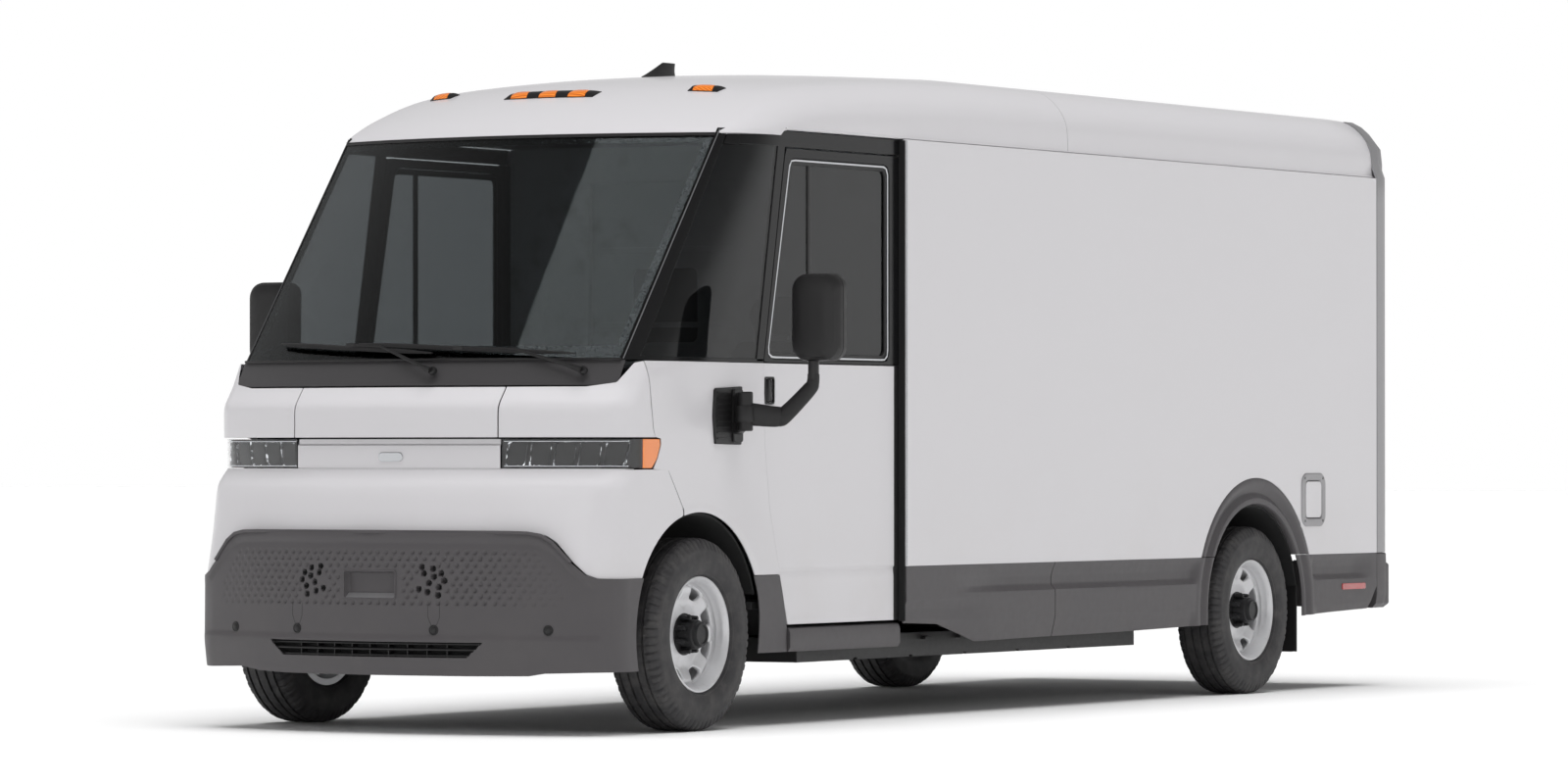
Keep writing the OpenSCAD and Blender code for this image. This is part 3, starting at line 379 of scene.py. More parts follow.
def both(piece, name, slot, nodes="", body="truck_body"):
    """Puts a left-hand piece and its right-hand twin on their bodies, or both on the truck's own."""
    apart = "SIDE" in body
    for side, one in (("left", piece), ("right", mirrored(piece, name + "_right"))):
        one.name = f"{name}_{side}"
        stands = [f"{n}_{side}" if apart else n for n in nodes.split()] if side == "left" or apart else []
        put(one, body.replace("SIDE", side), slot, *stands)


# -------- shader maths
class Value:
    """A socket in a material; arithmetic on it adds Math nodes."""

    def __init__(self, finish, socket):
        self.finish = finish
        self.socket = socket

    def maths(self, operation, *values):
        return self.finish.add("ShaderNodeMath", {"operation": operation}, *values)

    def __add__(self, other):
        return self.maths("ADD", self, other)

    __radd__ = __add__

    def __sub__(self, other):
        return self.maths("SUBTRACT", self, other)

    def __rsub__(self, other):
        return self.maths("SUBTRACT", other, self)

    def __mul__(self, other):
        return self.maths("MULTIPLY", self, other)

    __rmul__ = __mul__

    def __truediv__(self, other):
        return self.maths("DIVIDE", self, other)

    def __rtruediv__(self, other):
        return self.maths("DIVIDE", other, self)

    def __pow__(self, other):
        return self.maths("POWER", self, other)

    def band(self, low, high, start=0.0, end=1.0):
        """Rises smoothly from start to end as this value goes from low to high."""
        return self.finish.add("ShaderNodeMapRange", {"interpolation_type": "SMOOTHSTEP"},
                               self, low, high, start, end)


class Finish:
    """A material and the nodes that make it."""

    def __init__(self, name, color, rough, **constants):
        self.material = bpy.data.materials.new(name)
        self.material.use_nodes = True
        self.tree = self.material.node_tree
        self.shader = self.tree.nodes["Principled BSDF"]
        self.set("Base Color", (*color, 1) if isinstance(color, tuple) else color)
        self.set("Roughness", rough)
        for key, value in constants.items():
            self.set(key.replace("_", " ").title().replace("Ior", "IOR"), value)

    def add(self, kind, settings=None, *values, out=0, **named):
        """Adds a node: its settings first, then what goes into its inputs."""
        node = self.tree.nodes.new(kind)
        for key, value in (settings or {}).items():
            if key == "stops":
                ramp = node.color_ramp
                while len(ramp.elements) < len(value):
                    ramp.elements.new(0.5)
                for element, (place, color) in zip(ramp.elements, value):
                    element.position = place
                    element.color = (*color, 1)
            else:
                setattr(node, key, value)
        for i, value in enumerate(values):
            self.join(node.inputs[i], value)
        for key, value in named.items():
            self.join(node.inputs[key.replace("_", " ")], value)
        return Value(self, node.outputs[out])

    def join(self, socket, value):
        if isinstance(value, Value):
            self.tree.links.new(value.socket, socket)
        elif value is not None:
            socket.default_value = value

    def set(self, socket, value):
        self.join(self.shader.inputs[socket], value)

    def place(self):
        """Where a point of the surface lies on the truck, in metres."""
        return self.add("ShaderNodeTexCoord", None, out=3)

    def split(self, vector, part):
        return self.add("ShaderNodeSeparateXYZ", None, vector, out="xyz".index(part))

    def noise(self, scale, detail=3.0, rough=0.5, at=None):
        return self.add("ShaderNodeTexNoise", None, Vector=at or self.place(), Scale=scale,
                        Detail=detail, Roughness=rough)

    def cells(self, scale, feature="F1", at=None, out=0):
        return self.add("ShaderNodeTexVoronoi", {"feature": feature}, Vector=at or self.place(), Scale=scale,
                        out=out)

    def blend(self, factor, first, second):
        """Mixes two colours."""
        node = self.tree.nodes.new("ShaderNodeMix")
        node.data_type = "RGBA"
        for i, value in ((0, factor), (6, first), (7, second)):
            if isinstance(value, tuple):
                value = (*value, 1)
            self.join(node.inputs[i], value)
        return Value(self, node.outputs[2])

    def bump(self, height, distance, strength=1.0):
        """Raises the surface by height times distance, in metres."""
        self.set("Normal", self.add("ShaderNodeBump", None, Height=height, Distance=distance,
                                    Strength=strength))


def dusty(finish, color, dust, low, high, amount):
    """A colour that gathers road dust towards the ground, in patches."""
    place = finish.place()
    height = finish.split(place, "z")
    patches = finish.noise(2.2, 5.0, 0.6, place)
    cover = (1 - height.band(low, high)) * patches.band(0.35, 0.75) * amount
    finish.set("Base Color", finish.blend(cover, color, dust))
    return cover


def white_paint():
    f = Finish("white_paint", (0.59, 0.578, 0.596), 0.3, coat_weight=0.35, coat_roughness=0.14)
    cover = dusty(f, (0.64, 0.628, 0.648), (0.56, 0.54, 0.53), 0.4, 1.1, 0.3)
    f.set("Roughness", f.noise(3.0, 4.0) * 0.08 + 0.27 + cover * 0.3)
    peel = f.noise(260.0, 2.0)
    wave = f.noise(2.5, 1.0)
    f.bump(peel * 0.00004 + wave * 0.0006, 1.0, 0.35)
    return f.material


def cladding():
    f = Finish("cladding", (0.075, 0.07, 0.074), 0.5, specular_ior_level=0.4)
    cover = dusty(f, (0.075, 0.07, 0.074), (0.13, 0.12, 0.115), 0.2, 0.8, 0.25)
    f.set("Roughness", f.noise(30.0, 4.0) * 0.16 + 0.38 + cover * 0.25)
    grain = f.cells(900.0)
    f.bump(grain, 0.00022, 0.5)
    return f.material


def gloss_black():
    f = Finish("gloss_black", (0.008, 0.008, 0.0085), 0.2, specular_ior_level=0.22)
    smears = f.noise(9.0, 4.0, 0.6)
    f.set("Roughness", smears * 0.12 + 0.1)
    f.bump(f.noise(3.0, 1.0), 0.0008, 0.3)
    return f.material


def satin_black():
    f = Finish("satin_black", (0.014, 0.0135, 0.014), 0.45, specular_ior_level=0.4)
    f.set("Roughness", f.noise(40.0, 4.0) * 0.2 + 0.35)
    f.bump(f.cells(700.0), 0.0002, 0.45)
    return f.material


def cowl_plastic():
    f = Finish("cowl_plastic", (0.05, 0.048, 0.05), 0.35)
    f.set("Roughness", f.noise(18.0, 4.0) * 0.18 + 0.26)
    f.bump(f.cells(800.0), 0.00015, 0.3)
    return f.material


def well_black():
    f = Finish("well_black", (0.01, 0.01, 0.01), 0.85)
    fibres = f.noise(420.0, 4.0, 0.7)
    f.set("Base Color", f.blend(fibres, (0.006, 0.006, 0.006), (0.02, 0.02, 0.021)))
    f.bump(fibres, 0.0008, 0.6)
    return f.material


def tinted_glass(name, tint, rough=0.02, index=1.4):
    f = Finish(name, tint, rough, transmission_weight=1.0, ior=index)
    wipes = f.noise(4.0, 5.0, 0.65)
    f.set("Roughness", wipes.band(0.4, 0.9) * 0.03 + rough)
    return f.material


def frit_black():
    f = Finish("frit_black", (0.006, 0.006, 0.007), 0.3)
    f.set("Roughness", f.noise(60.0, 3.0) * 0.1 + 0.22)
    return f.material


def lamp_plastic(name, color, deep, glow=0.0):
    f = Finish(name, color, 0.12, coat_weight=0.7, coat_roughness=0.05)
    place = f.place()
    ribs = f.add("ShaderNodeTexWave", {"wave_type": "BANDS", "bands_direction": "Y"}, Vector=place,
                 Scale=60.0)
    f.set("Base Color", f.blend(ribs, deep, color))
    if glow:
        f.set("Emission Color", (*color, 1))
        f.set("Emission Strength", glow)
    f.bump(ribs, 0.0006, 0.6)
    return f.material


def reflector():
    f = Finish("reflector", (0.75, 0.76, 0.78), 0.08, metallic=1.0)
    f.set("Roughness", f.noise(80.0, 2.0) * 0.08 + 0.04)
    return f.material


def bright_trim():
    f = Finish("bright_trim", (0.55, 0.56, 0.58), 0.2, metallic=1.0)
    brushed = f.add("ShaderNodeTexNoise", None,
                    Vector=f.add("ShaderNodeMapping", None, Vector=f.place(), Scale=(900, 900, 20)),
                    Scale=1.0, Detail=3.0)
    f.set("Roughness", brushed * 0.15 + 0.14)
    return f.material


def grey_trim():
    f = Finish("grey_trim", (0.32, 0.315, 0.325), 0.36, metallic=0.55)
    f.set("Roughness", f.noise(50.0, 4.0) * 0.14 + 0.28)
    f.bump(f.cells(1100.0), 0.0001, 0.3)
    return f.material


def wheel_paint():
    f = Finish("wheel_paint", (0.66, 0.66, 0.675), 0.34, metallic=0.35)
    place = f.place()
    dust = f.noise(28.0, 6.0, 0.65, place).band(0.5, 0.85)
    f.set("Base Color", f.blend(dust * 0.35, (0.66, 0.66, 0.675), (0.36, 0.34, 0.32)))
    f.set("Roughness", dust * 0.25 + 0.28)
    f.bump(f.noise(500.0, 2.0), 0.00012, 0.4)
    return f.material


def tyre_rubber():
    f = Finish("tyre_rubber", (0.035, 0.034, 0.036), 0.72)
    place = f.place()
    scuff = f.noise(16.0, 6.0, 0.65, place)
    f.set("Base Color", f.blend(scuff.band(0.35, 0.8), (0.026, 0.025, 0.027), (0.066, 0.063, 0.062)))
    f.set("Roughness", scuff * 0.2 + 0.55)
    f.bump(f.noise(600.0, 3.0), 0.0003, 0.6)
    return f.material


def cast_black():
    f = Finish("cast_black", (0.014, 0.014, 0.015), 0.5, metallic=0.3)
    rough = f.noise(240.0, 5.0, 0.6)
    f.set("Roughness", rough * 0.3 + 0.3)
    f.bump(rough, 0.0005, 0.6)
    return f.material


def liner_panel():
    f = Finish("liner_panel", (0.46, 0.46, 0.47), 0.5)
    scuffs = f.noise(7.0, 7.0, 0.7)
    f.set("Base Color", f.blend(scuffs.band(0.5, 0.8), (0.47, 0.47, 0.48), (0.34, 0.33, 0.33)))
    f.set("Roughness", scuffs * 0.2 + 0.38)
    f.bump(f.cells(500.0), 0.0001, 0.4)
    return f.material


def floor_grip():
    f = Finish("floor_grip", (0.07, 0.07, 0.072), 0.7)
    studs = f.cells(60.0, "SMOOTH_F1").band(0.1, 0.5)
    wear = f.noise(3.0, 6.0, 0.65)
    f.set("Base Color", f.blend(wear.band(0.45, 0.8), (0.055, 0.055, 0.057), (0.14, 0.135, 0.13)))
    f.set("Roughness", wear * 0.2 + 0.55)
    f.bump(1 - studs, 0.0015, 0.8)
    return f.material


def seat_cloth():
    f = Finish("seat_cloth", (0.035, 0.035, 0.038), 0.9, sheen_weight=0.5, sheen_roughness=0.4)
    place = f.place()
    weave = f.add("ShaderNodeTexWave", {"bands_direction": "X"}, Vector=place, Scale=190.0)
    weft = f.add("ShaderNodeTexWave", {"bands_direction": "Z"}, Vector=place, Scale=190.0)
    cloth = weave * weft
    f.set("Base Color", f.blend(cloth, (0.02, 0.02, 0.022), (0.06, 0.06, 0.065)))
    f.bump(cloth, 0.0008, 0.7)
    return f.material


def seat_side():
    f = Finish("seat_side", (0.02, 0.02, 0.021), 0.5)
    hide = f.cells(260.0)
    f.set("Roughness", hide * 0.2 + 0.4)
    f.bump(hide, 0.0005, 0.6)
    return f.material


def soft_grain():
    f = Finish("soft_grain", (0.03, 0.03, 0.033), 0.6)
    f.set("Roughness", f.noise(45.0, 4.0) * 0.18 + 0.5)
    f.bump(f.cells(420.0), 0.0004, 0.5)
    return f.material


def lamp_facets():
    """Bright cells broken into many small mirrors; each cell's colour is painted bright or near black at
    random, as painted glints and painted shade.
    """
    f = Finish("lamp_facets", (0.8, 0.81, 0.83), 0.1, metallic=1.0)
    place = f.add("ShaderNodeMapping", None, Vector=f.place(), Scale=(1.0, 1.0, 0.7))
    cells = f.cells(62.0, "F1", place)
    # painted glints and painted shade: each facet gets a bright or a near-black colour at random, standing
    # for light caught or missed
    painted_glint = f.split(f.cells(62.0, "F1", place, 1), "x")
    f.set("Roughness", cells * 0.2 + 0.05)
    f.set("Base Color", f.blend(painted_glint.band(0.25, 0.7), (0.95, 0.96, 0.98), (0.05, 0.05, 0.055)))
    f.bump(cells, 0.012, 1.0)
    return f.material


def mirror_silver():
    f = Finish("mirror_silver", (0.85, 0.86, 0.88), 0.02, metallic=1.0)
    f.set("Roughness", f.noise(30.0, 4.0).band(0.5, 0.9) * 0.05 + 0.01)
    return f.material


PAINT = white_paint()
CLAD = cladding()
GLOSS = gloss_black()
SATIN = satin_black()
COWL = cowl_plastic()
WELL = well_black()
GLASS = tinted_glass("cab_glass", (0.3, 0.33, 0.34))
SIDE_GLASS = tinted_glass("side_glass", (0.22, 0.225, 0.23), 0.02, 1.32)
CLEAR = tinted_glass("lens_clear", (0.96, 0.97, 0.98), 0.01)
FRIT = frit_black()
AMBER = lamp_plastic("amber_lens", (0.9, 0.26, 0.03), (0.5, 0.1, 0.01), 0.15)
RED = lamp_plastic("red_lens", (0.55, 0.015, 0.012), (0.22, 0.004, 0.004))
MIRRORED = reflector()
BRIGHT = bright_trim()
GREY = grey_trim()
WHEEL = wheel_paint()
RUBBER = tyre_rubber()
CAST = cast_black()
LINER = liner_panel()
FLOOR_GRIP = floor_grip()
CLOTH = seat_cloth()
SEAT_SIDE = seat_side()
GRAIN = soft_grain()
SILVERED = mirror_silver()
FACETS = lamp_facets()

# -------- the nose's skin
# Middle line of the nose, (height, a), and the radius of its corners, (height, radius)
BUMPER_LINE = [(200, TIP + 30), (240, TIP + 16), (330, TIP + 1), (352, TIP), (690, TIP + 3), (755, TIP + 12)]
WHITE_LINE = [(560, TIP + 4), (755, TIP + 52), (905, TIP + 82), (938, TIP + 94), (992, TIP + 156)]
BROW_LINE = [(1100, TIP + 136), (1210, TIP + 136), (1235, TIP + 142), (1300, TIP + 195), (1310, TIP + 200),
             (BELT_Z, TIP + 254)]
STRIP_LINE = [(980, TIP + 157), (1120, TIP + 157)]
CORNERS = [(200, 190), (700, 190), (1000, 160), (1400, 130)]


class Skin:
    """The front and side of the cab; places on it are (run, height), run measured round from the middle."""

    def __init__(self, line, half=CAB_X, fillet=14):
        self.line = line
        self.half = half
        self.fillet = fillet

    def plan(self, z):
        spots = [along(self.line, z + k * self.fillet) for k in (-1, -0.5, 0, 0.5, 1)]
        front = sum(spots) / 5
        r = along(CORNERS, z)
        turn = math.asin((self.half - r) / (NOSE_R - r))
        centre = front + NOSE_R - (NOSE_R - r) * math.cos(turn)
        return front, r, turn, centre

    def point(self, run, z):
        front, r, turn, centre = self.plan(z)
        way, run = (1, run) if run >= 0 else (-1, -run)
        if run < NOSE_R * turn:
            t = run / NOSE_R
            return (way * NOSE_R * math.sin(t), front + NOSE_R * (1 - math.cos(t)), z)
        bend = (run - NOSE_R * turn) / r + turn
        if bend < math.pi / 2:
            return (way * (self.half - r + r * math.sin(bend)), centre - r * math.cos(bend), z)
        rest = run - NOSE_R * turn - r * (math.pi / 2 - turn)
        return (way * self.half, centre + rest, z)

    def front(self, x, z):
        """The place at x on the nose's front."""
        _, r, turn, _ = self.plan(z)
        way, x = (1, x) if x >= 0 else (-1, -x)
        if x < NOSE_R * math.sin(turn):
            return (way * NOSE_R * math.asin(x / NOSE_R), z)
        bend = math.asin(clamp((x - self.half + r) / r, -1, 1))
        return (way * (NOSE_R * turn + r * (bend - turn)), z)

    def side(self, a, z, way=1):
        """The place at a on the cab's side."""
        _, r, turn, centre = self.plan(z)
        corner = NOSE_R * turn + r * (math.pi / 2 - turn)
        if a >= centre:
            return (way * (corner + a - centre), z)
        bend = math.acos(clamp((centre - a) / r, -1, 1))
        return (way * (NOSE_R * turn + r * (bend - turn)), z)

    def normal(self, run, z):
        p = Vector(self.point(run, z))
        u = Vector(self.point(run + 2, z)) - p
        v = Vector(self.point(run, z + 2)) - p
        return u.cross(v).normalized()

    def at(self, x, z, out=0.0):
        """The place at x on the nose's front, out millimetres proud of the skin."""
        spot = self.front(x, z)
        return Vector(self.point(*spot)) + self.normal(*spot) * out

    def cover(self, grid, relief=None):
        """Lays a grid of places on the skin, raised by relief(x, a, z) where that is given."""
        out = []
        for row in grid:
            line = []
            for run, z in row:
                p = Vector(self.point(run, z))
                if relief:
                    p += self.normal(run, z) * relief(p.x, p.y, z)
                line.append(p)
            out.append(line)
        return out


def side_arc(skin, centre, r, start, end, n, way=1):
    return [skin.side(a, z, way) for a, z in arc(centre, HUB_Z, r, start, end, n)]


BUMPER = Skin(BUMPER_LINE, CAB_X + 7)
APRON = Skin(WHITE_LINE)
BROW = Skin(BROW_LINE)
STRIP = Skin(STRIP_LINE, CAB_X - 2, 4)

# Upper edge of the bumper, (half width, height)
RIM = [(0, 757), (560, 756), (640, 754), (690, 745), (730, 720), (800, 645), (850, 600), (885, 586)]
HOLES = [(-300 + dx * 21, 552 + dz * 15) for dx, dz in
         ((0, 0), (2, 1), (1, 2.6), (3, 3.4), (-1, 1.6), (-0.4, 3.4), (1.2, 4.6), (3.4, 5), (2.3, -1.2),
          (4, -0.5), (0.2, -2))]
HOLE_R = 11.5
SENSORS = [(-688, 392), (-345, 392), (279, 392), (720, 394)]


def dimples():
    """Places of the bumper's dimples, in rows that step sideways, fading to both sides."""
    out = []
    draw = random.Random(4)
    for j in range(9):
        z = 494 + j * 23.5
        for i in range(-22, 23):
            x = i * 37 + (j % 2) * 18.5 + draw.uniform(-3, 3)
            if abs(x) < 138 and 500 < z < 625:
                continue
            edge = 770 - max(0, z - 560) * 0.75
            if abs(x) > edge or any(math.hypot(abs(x) + hx, z - hz) < 26 for hx, hz in HOLES):
                continue
            out.append((x, z, 1 - 0.75 * ease(420, 780, abs(x))))
    return out


DIMPLES = dimples()
NEAR = {}
for dimple in DIMPLES:
    NEAR.setdefault((round(dimple[0] / 40), round(dimple[1] / 25)), []).append(dimple)


def bumper_relief(x, a, z):
    """How far the bumper's face lies proud of its skin."""
    half = abs(x)
    rim = along(RIM, half) if half < 885 else 586
    depth = -9 * ease(16, 44, rim - z) * (1 - ease(850, 925, half)) * ease(352, 378, z)
    recess = 1 - ease(104, 118, half)
    recess *= ease(508, 530, z) * (1 - ease(604, 612, z))
    depth -= 22 * recess
    if 470 < z < 720:
        for i in (-1, 0, 1):
            for j in (-1, 0, 1):
                for dx, dz, size in NEAR.get((round(x / 40) + i, round(z / 25) + j), ()):
                    u, v = x - dx, z - dz
                    d = math.hypot(u, v)
                    if d < 13:
                        cup = 1 - ease(6.5, 11, d)
                        depth -= 7.5 * size * cup * clamp(0.6 + (u - v) / 16)
        for hx, hz in HOLES:
            d = math.hypot(half + hx, z - hz)
            depth -= 20 * (1 - ease(HOLE_R - 4, HOLE_R + 1, d))
    return depth


def build_bumper():
    low = [BUMPER.side(-445, 242, -1), BUMPER.side(-560, 242, -1)]
    low += [BUMPER.front(x, z) for x, z in ((-850, 240), (-650, 246), (-560, 232), (-420, 226), (0, 224),
                                            (420, 224), (640, 226), (700, 236), (850, 240))]
    low += [BUMPER.side(-560, 241), BUMPER.side(-445, 241)]
    high = [BUMPER.side(-407, 584, -1), BUMPER.side(-560, 584, -1)]
    high += [BUMPER.front(-x, z) for x, z in reversed(RIM)] + [BUMPER.front(x, z) for x, z in RIM[1:]]
    high += [BUMPER.side(-560, 584), BUMPER.side(-407, 584)]
    left = side_arc(BUMPER, 0, ARCH_R, 196, 151.8, 14, -1)
    right = side_arc(BUMPER, 0, ARCH_R, 196, 151.8, 14)
    columns = 520
    low, high = resample(low, columns), resample(high, columns)
    places = coons(low, high, left, right, columns, 104)
    shell = panel("bumper_skin", BUMPER.cover(places, bumper_relief), CLAD, 5)
    cut_grille(shell)
    paint_hole_shade(shell)
    fixed(shell, "cladding_grey", "front_bumper")
    edge = [BUMPER.front(x, z) for x, z in [(-q[0], q[1]) for q in reversed(RIM[:6])] + RIM[1:6]]
    lip = [Vector(BUMPER.point(s, z)) + BUMPER.normal(s, z) * 3 for s, z in edge]
    fixed(tube("bumper_rim", lip, 7, CLAD, 10), "cladding_grey")


def cut_grille(shell):
    """Opens the lower grille's slot in the bumper's skin."""
    b = bmesh.new()
    b.from_mesh(shell.data)
    gone = []
    for f in b.faces:
        c = f.calc_center_median()
        x, z, a = c.x * 1000, c.z * 1000, (c.y - FRONT_AXLE_Y) * 1000
        if a < -600 and 291 < z < 347 and abs(x) < 412 + (z - 290) * 68 / 58:
            gone.append(f)
    bmesh.ops.delete(b, geom=gone, context="FACES")
    b.to_mesh(shell.data)
    b.free()


def paint_hole_shade(shell):
    """Paints the open holes beside the tow cover near black, as painted shade for the dark behind them."""
    shell.data.materials.append(WELL)
    for f in shell.data.polygons:
        c = f.center
        if c.y < TIP / 1000 + FRONT_AXLE_Y + 0.2:
            x, z = abs(c.x * 1000), c.z * 1000
            if any(math.hypot(x + hx, z - hz) < HOLE_R - 2 for hx, hz in HOLES):
                # painted shade: the faces inside each hole take the near-black well finish
                f.material_index = 1


def build_grille():
    parts = []
    rows = [[(BUMPER.at(x, z) + Vector((0, 55, 0))) for x in steps(-500, 500, 16)]
            for z in (282, 318, 354)]
    parts.append(panel("grille_back", rows, WELL, 3))
    for z, depth in ((297, 10), (320, 6), (341, 14)):
        reach = 408 + (z - 290) * 68 / 58
        line = [BUMPER.at(x, z) + Vector((0, depth, 0)) for x in steps(-reach, reach, 24)]
        rings = [[(p.x, p.y + dy, p.z + dz) for dy, dz in ((0, -4), (0, 1), (5, 5), (26, 6), (26, -2))]
                 for p in line]
        parts.append(soften(loft("slat", rings, SATIN), 1.2))
    for i in range(-4, 5):
        x = i * 82
        p = BUMPER.at(x, 320)
        parts.append(slab("rib", (x - 2.5, p.y + 14, 290), (x + 2.5, p.y + 52, 346), SATIN, 1))
    fixed(join("bumper_grille_slats", parts), "black_trim", "bumper_grille")


def build_bumper_details():
    sensors = []
    for x, z in SENSORS:
        s, z = BUMPER.front(x, z)
        p = Vector(BUMPER.point(s, z))
        n = BUMPER.normal(s, z)
        centre = p - n * 8.5
        sensors.append(turned_on(
            "sensor", centre, n,
            [(0, 4.5), (9, 4.5), (11, 3.5), (12, 1.6), (15, 1.6), (17, 3), (19, 2), (19.5, -6)], SATIN, 28))
    fixed(join("parking_sensors", sensors), "black_trim")
    # Tow cover: a tray with a sloping floor
    parts = []
    frame_line = [BUMPER.at(x, z, -8) for x, z in round_rect(-116, 508, 116, 612, 9, 4)]
    parts.append(tube("cover_rim", frame_line + frame_line[:1], 3.2, CLAD, 8))
    sill = [[BUMPER.at(x, z, out) for x in steps(-108, 108, 10)] for z, out in ((511, -9), (529, -29))]
    parts.append(panel("cover_floor", sill, GREY, 2))
    fixed(join("tow_cover", parts), "cladding_grey")
    # Outlines of the two knock-out covers
    for i, x0 in enumerate((-345, 279)):
        outline = [(x0 - 24, 486), (x0 - 24, 440), (x0 - 10, 410), (x0 + 12, 410), (x0 + 24, 440),
                   (x0 + 24, 486)]
        line = [BUMPER.at(x, z, -9.2) for x, z in outline]
        fixed(tube(f"cover_line_{i}", line, 0.9, SATIN, 6), "cladding_grey")


def turned_on(name, centre, way, profile, material, count=32):
    """A turned shape whose axis runs along way."""
    way = Vector(way).normalized()
    u = way.orthogonal().normalized()
    v = way.cross(u)
    rings = [[Vector(centre) + (u * math.cos(t) + v * math.sin(t)) * max(r, 0.01) + way * d
              for t in turns(count)] for r, d in profile]
    return loft(name, rings, material, caps=False)


SEAM_BASE = [(-110, 816), (-109, 840), (-146, 890), (-220, 990), (-324, 1135), (-366, 1397)]


def seam_line(skin, way, low, high):
    """The nose's side of the seam with the fender, a gap in front of it."""
    return [skin.side(along(SEAM_BASE, z, 1, 0) - GAP, z, way) for z in steps(low, high, 14)]


def build_white_nose():
    # Lower fascia: from the bumper's edge to the lamps, and round to the arches and the fender's seam
    def lower(way):
        return ([APRON.front(way * x, z - 1) for x, z in RIM]
                + [APRON.side(-560, 583, way), APRON.side(-407, 583, way)])
    def seam(way):
        return side_arc(APRON, 0, ARCH_R, 152, 104, 16, way) + seam_line(APRON, way, 838, 990)
    bottom = lower(-1)[::-1] + lower(1)[1:]
    top = [APRON.side(-224, 990, -1), APRON.side(-400, 990, -1)]
    top += [APRON.front(x, 990) for x in steps(-880, 880, 30)]
    top += [APRON.side(-400, 990), APRON.side(-224, 990)]
    places = coons(bottom, top, seam(-1), seam(1), 240, 44)
    fascia = panel("fascia_skin", APRON.cover(places), PAINT, 5)
    fixed(soften(fascia, 3), "paint_white", "front_fascia")
    # Shelf under the lamps
    front = [APRON.point(*APRON.front(x, 989)) for x in steps(-900, 900, 40)]
    shelf = [[(x, a + d, 989) for x, a, _ in front] for d in (2, 70)]
    fixed(panel("lamp_shelf", shelf, PAINT, 4, flip=True), "paint_white")
    # Cheeks beside the hood
    for way, side in ((1, "left"), (-1, "right")):
        low = [BROW.front(way * (HOOD_HALF + GAP / 2), 1110), BROW.front(way * 800, 1110),
               BROW.side(-420, 1110, way), BROW.side(-310, 1110, way)]
        high = [BROW.front(way * (HOOD_HALF + GAP / 2), 1300), BROW.front(way * 760, 1301),
                BROW.front(way * 860, 1316), BROW.side(-400, 1390, way), BROW.side(-370, 1396, way)]
        inner = [BROW.front(way * (HOOD_HALF + GAP / 2), z) for z in (1110, 1205, 1300)]
        outer = seam_line(BROW, way, 1110, 1396)
        grid = BROW.cover(coons(low, high, inner, outer, 70, 34))
        cheek = panel(f"cheek_{side}", grid, PAINT, 5, flip=way < 0)
        fixed(soften(cheek, 3), "paint_white")
    # Hood
    half = HOOD_HALF - GAP / 2
    low, high = [[BROW.front(x, z) for x in steps(-half, half, 8)] for z in (1110, 1300)]
    left, right = [[BROW.front(x, z) for z in (1110, 1205, 1300)] for x in (-half, half)]
    hood = panel("hood_skin", BROW.cover(coons(low, high, left, right, 60, 34)), PAINT, 6)
    put(soften(hood, 3), "hood", "paint_white", "hood")
    # Strip between the lamps, with a plain plaque
    low, high = [[STRIP.front(x, z) for x in steps(-457, 457, 8)] for z in (994, 1104)]
    left, right = [[STRIP.front(x, z) for z in (994, 1104)] for x in (-457, 457)]
    def step_line(x, a, z):
        return -7 * ease(1080, 1086, z)
    strip = panel("nose_strip", STRIP.cover(coons(low, high, left, right, 60, 36), step_line), PAINT, 6)
    fixed(soften(strip, 3), "paint_white", "nose_panel")
    plaque = [(x, z) for x, z in round_rect(-54, 1020, 54, 1054, 15, 6)]
    front = STRIP.point(0, 1037)[1]
    badge = prism("blank_plaque", plaque, front - 5, front + 2, "y", BRIGHT, 2.4)
    fixed(badge, "trim_metal")


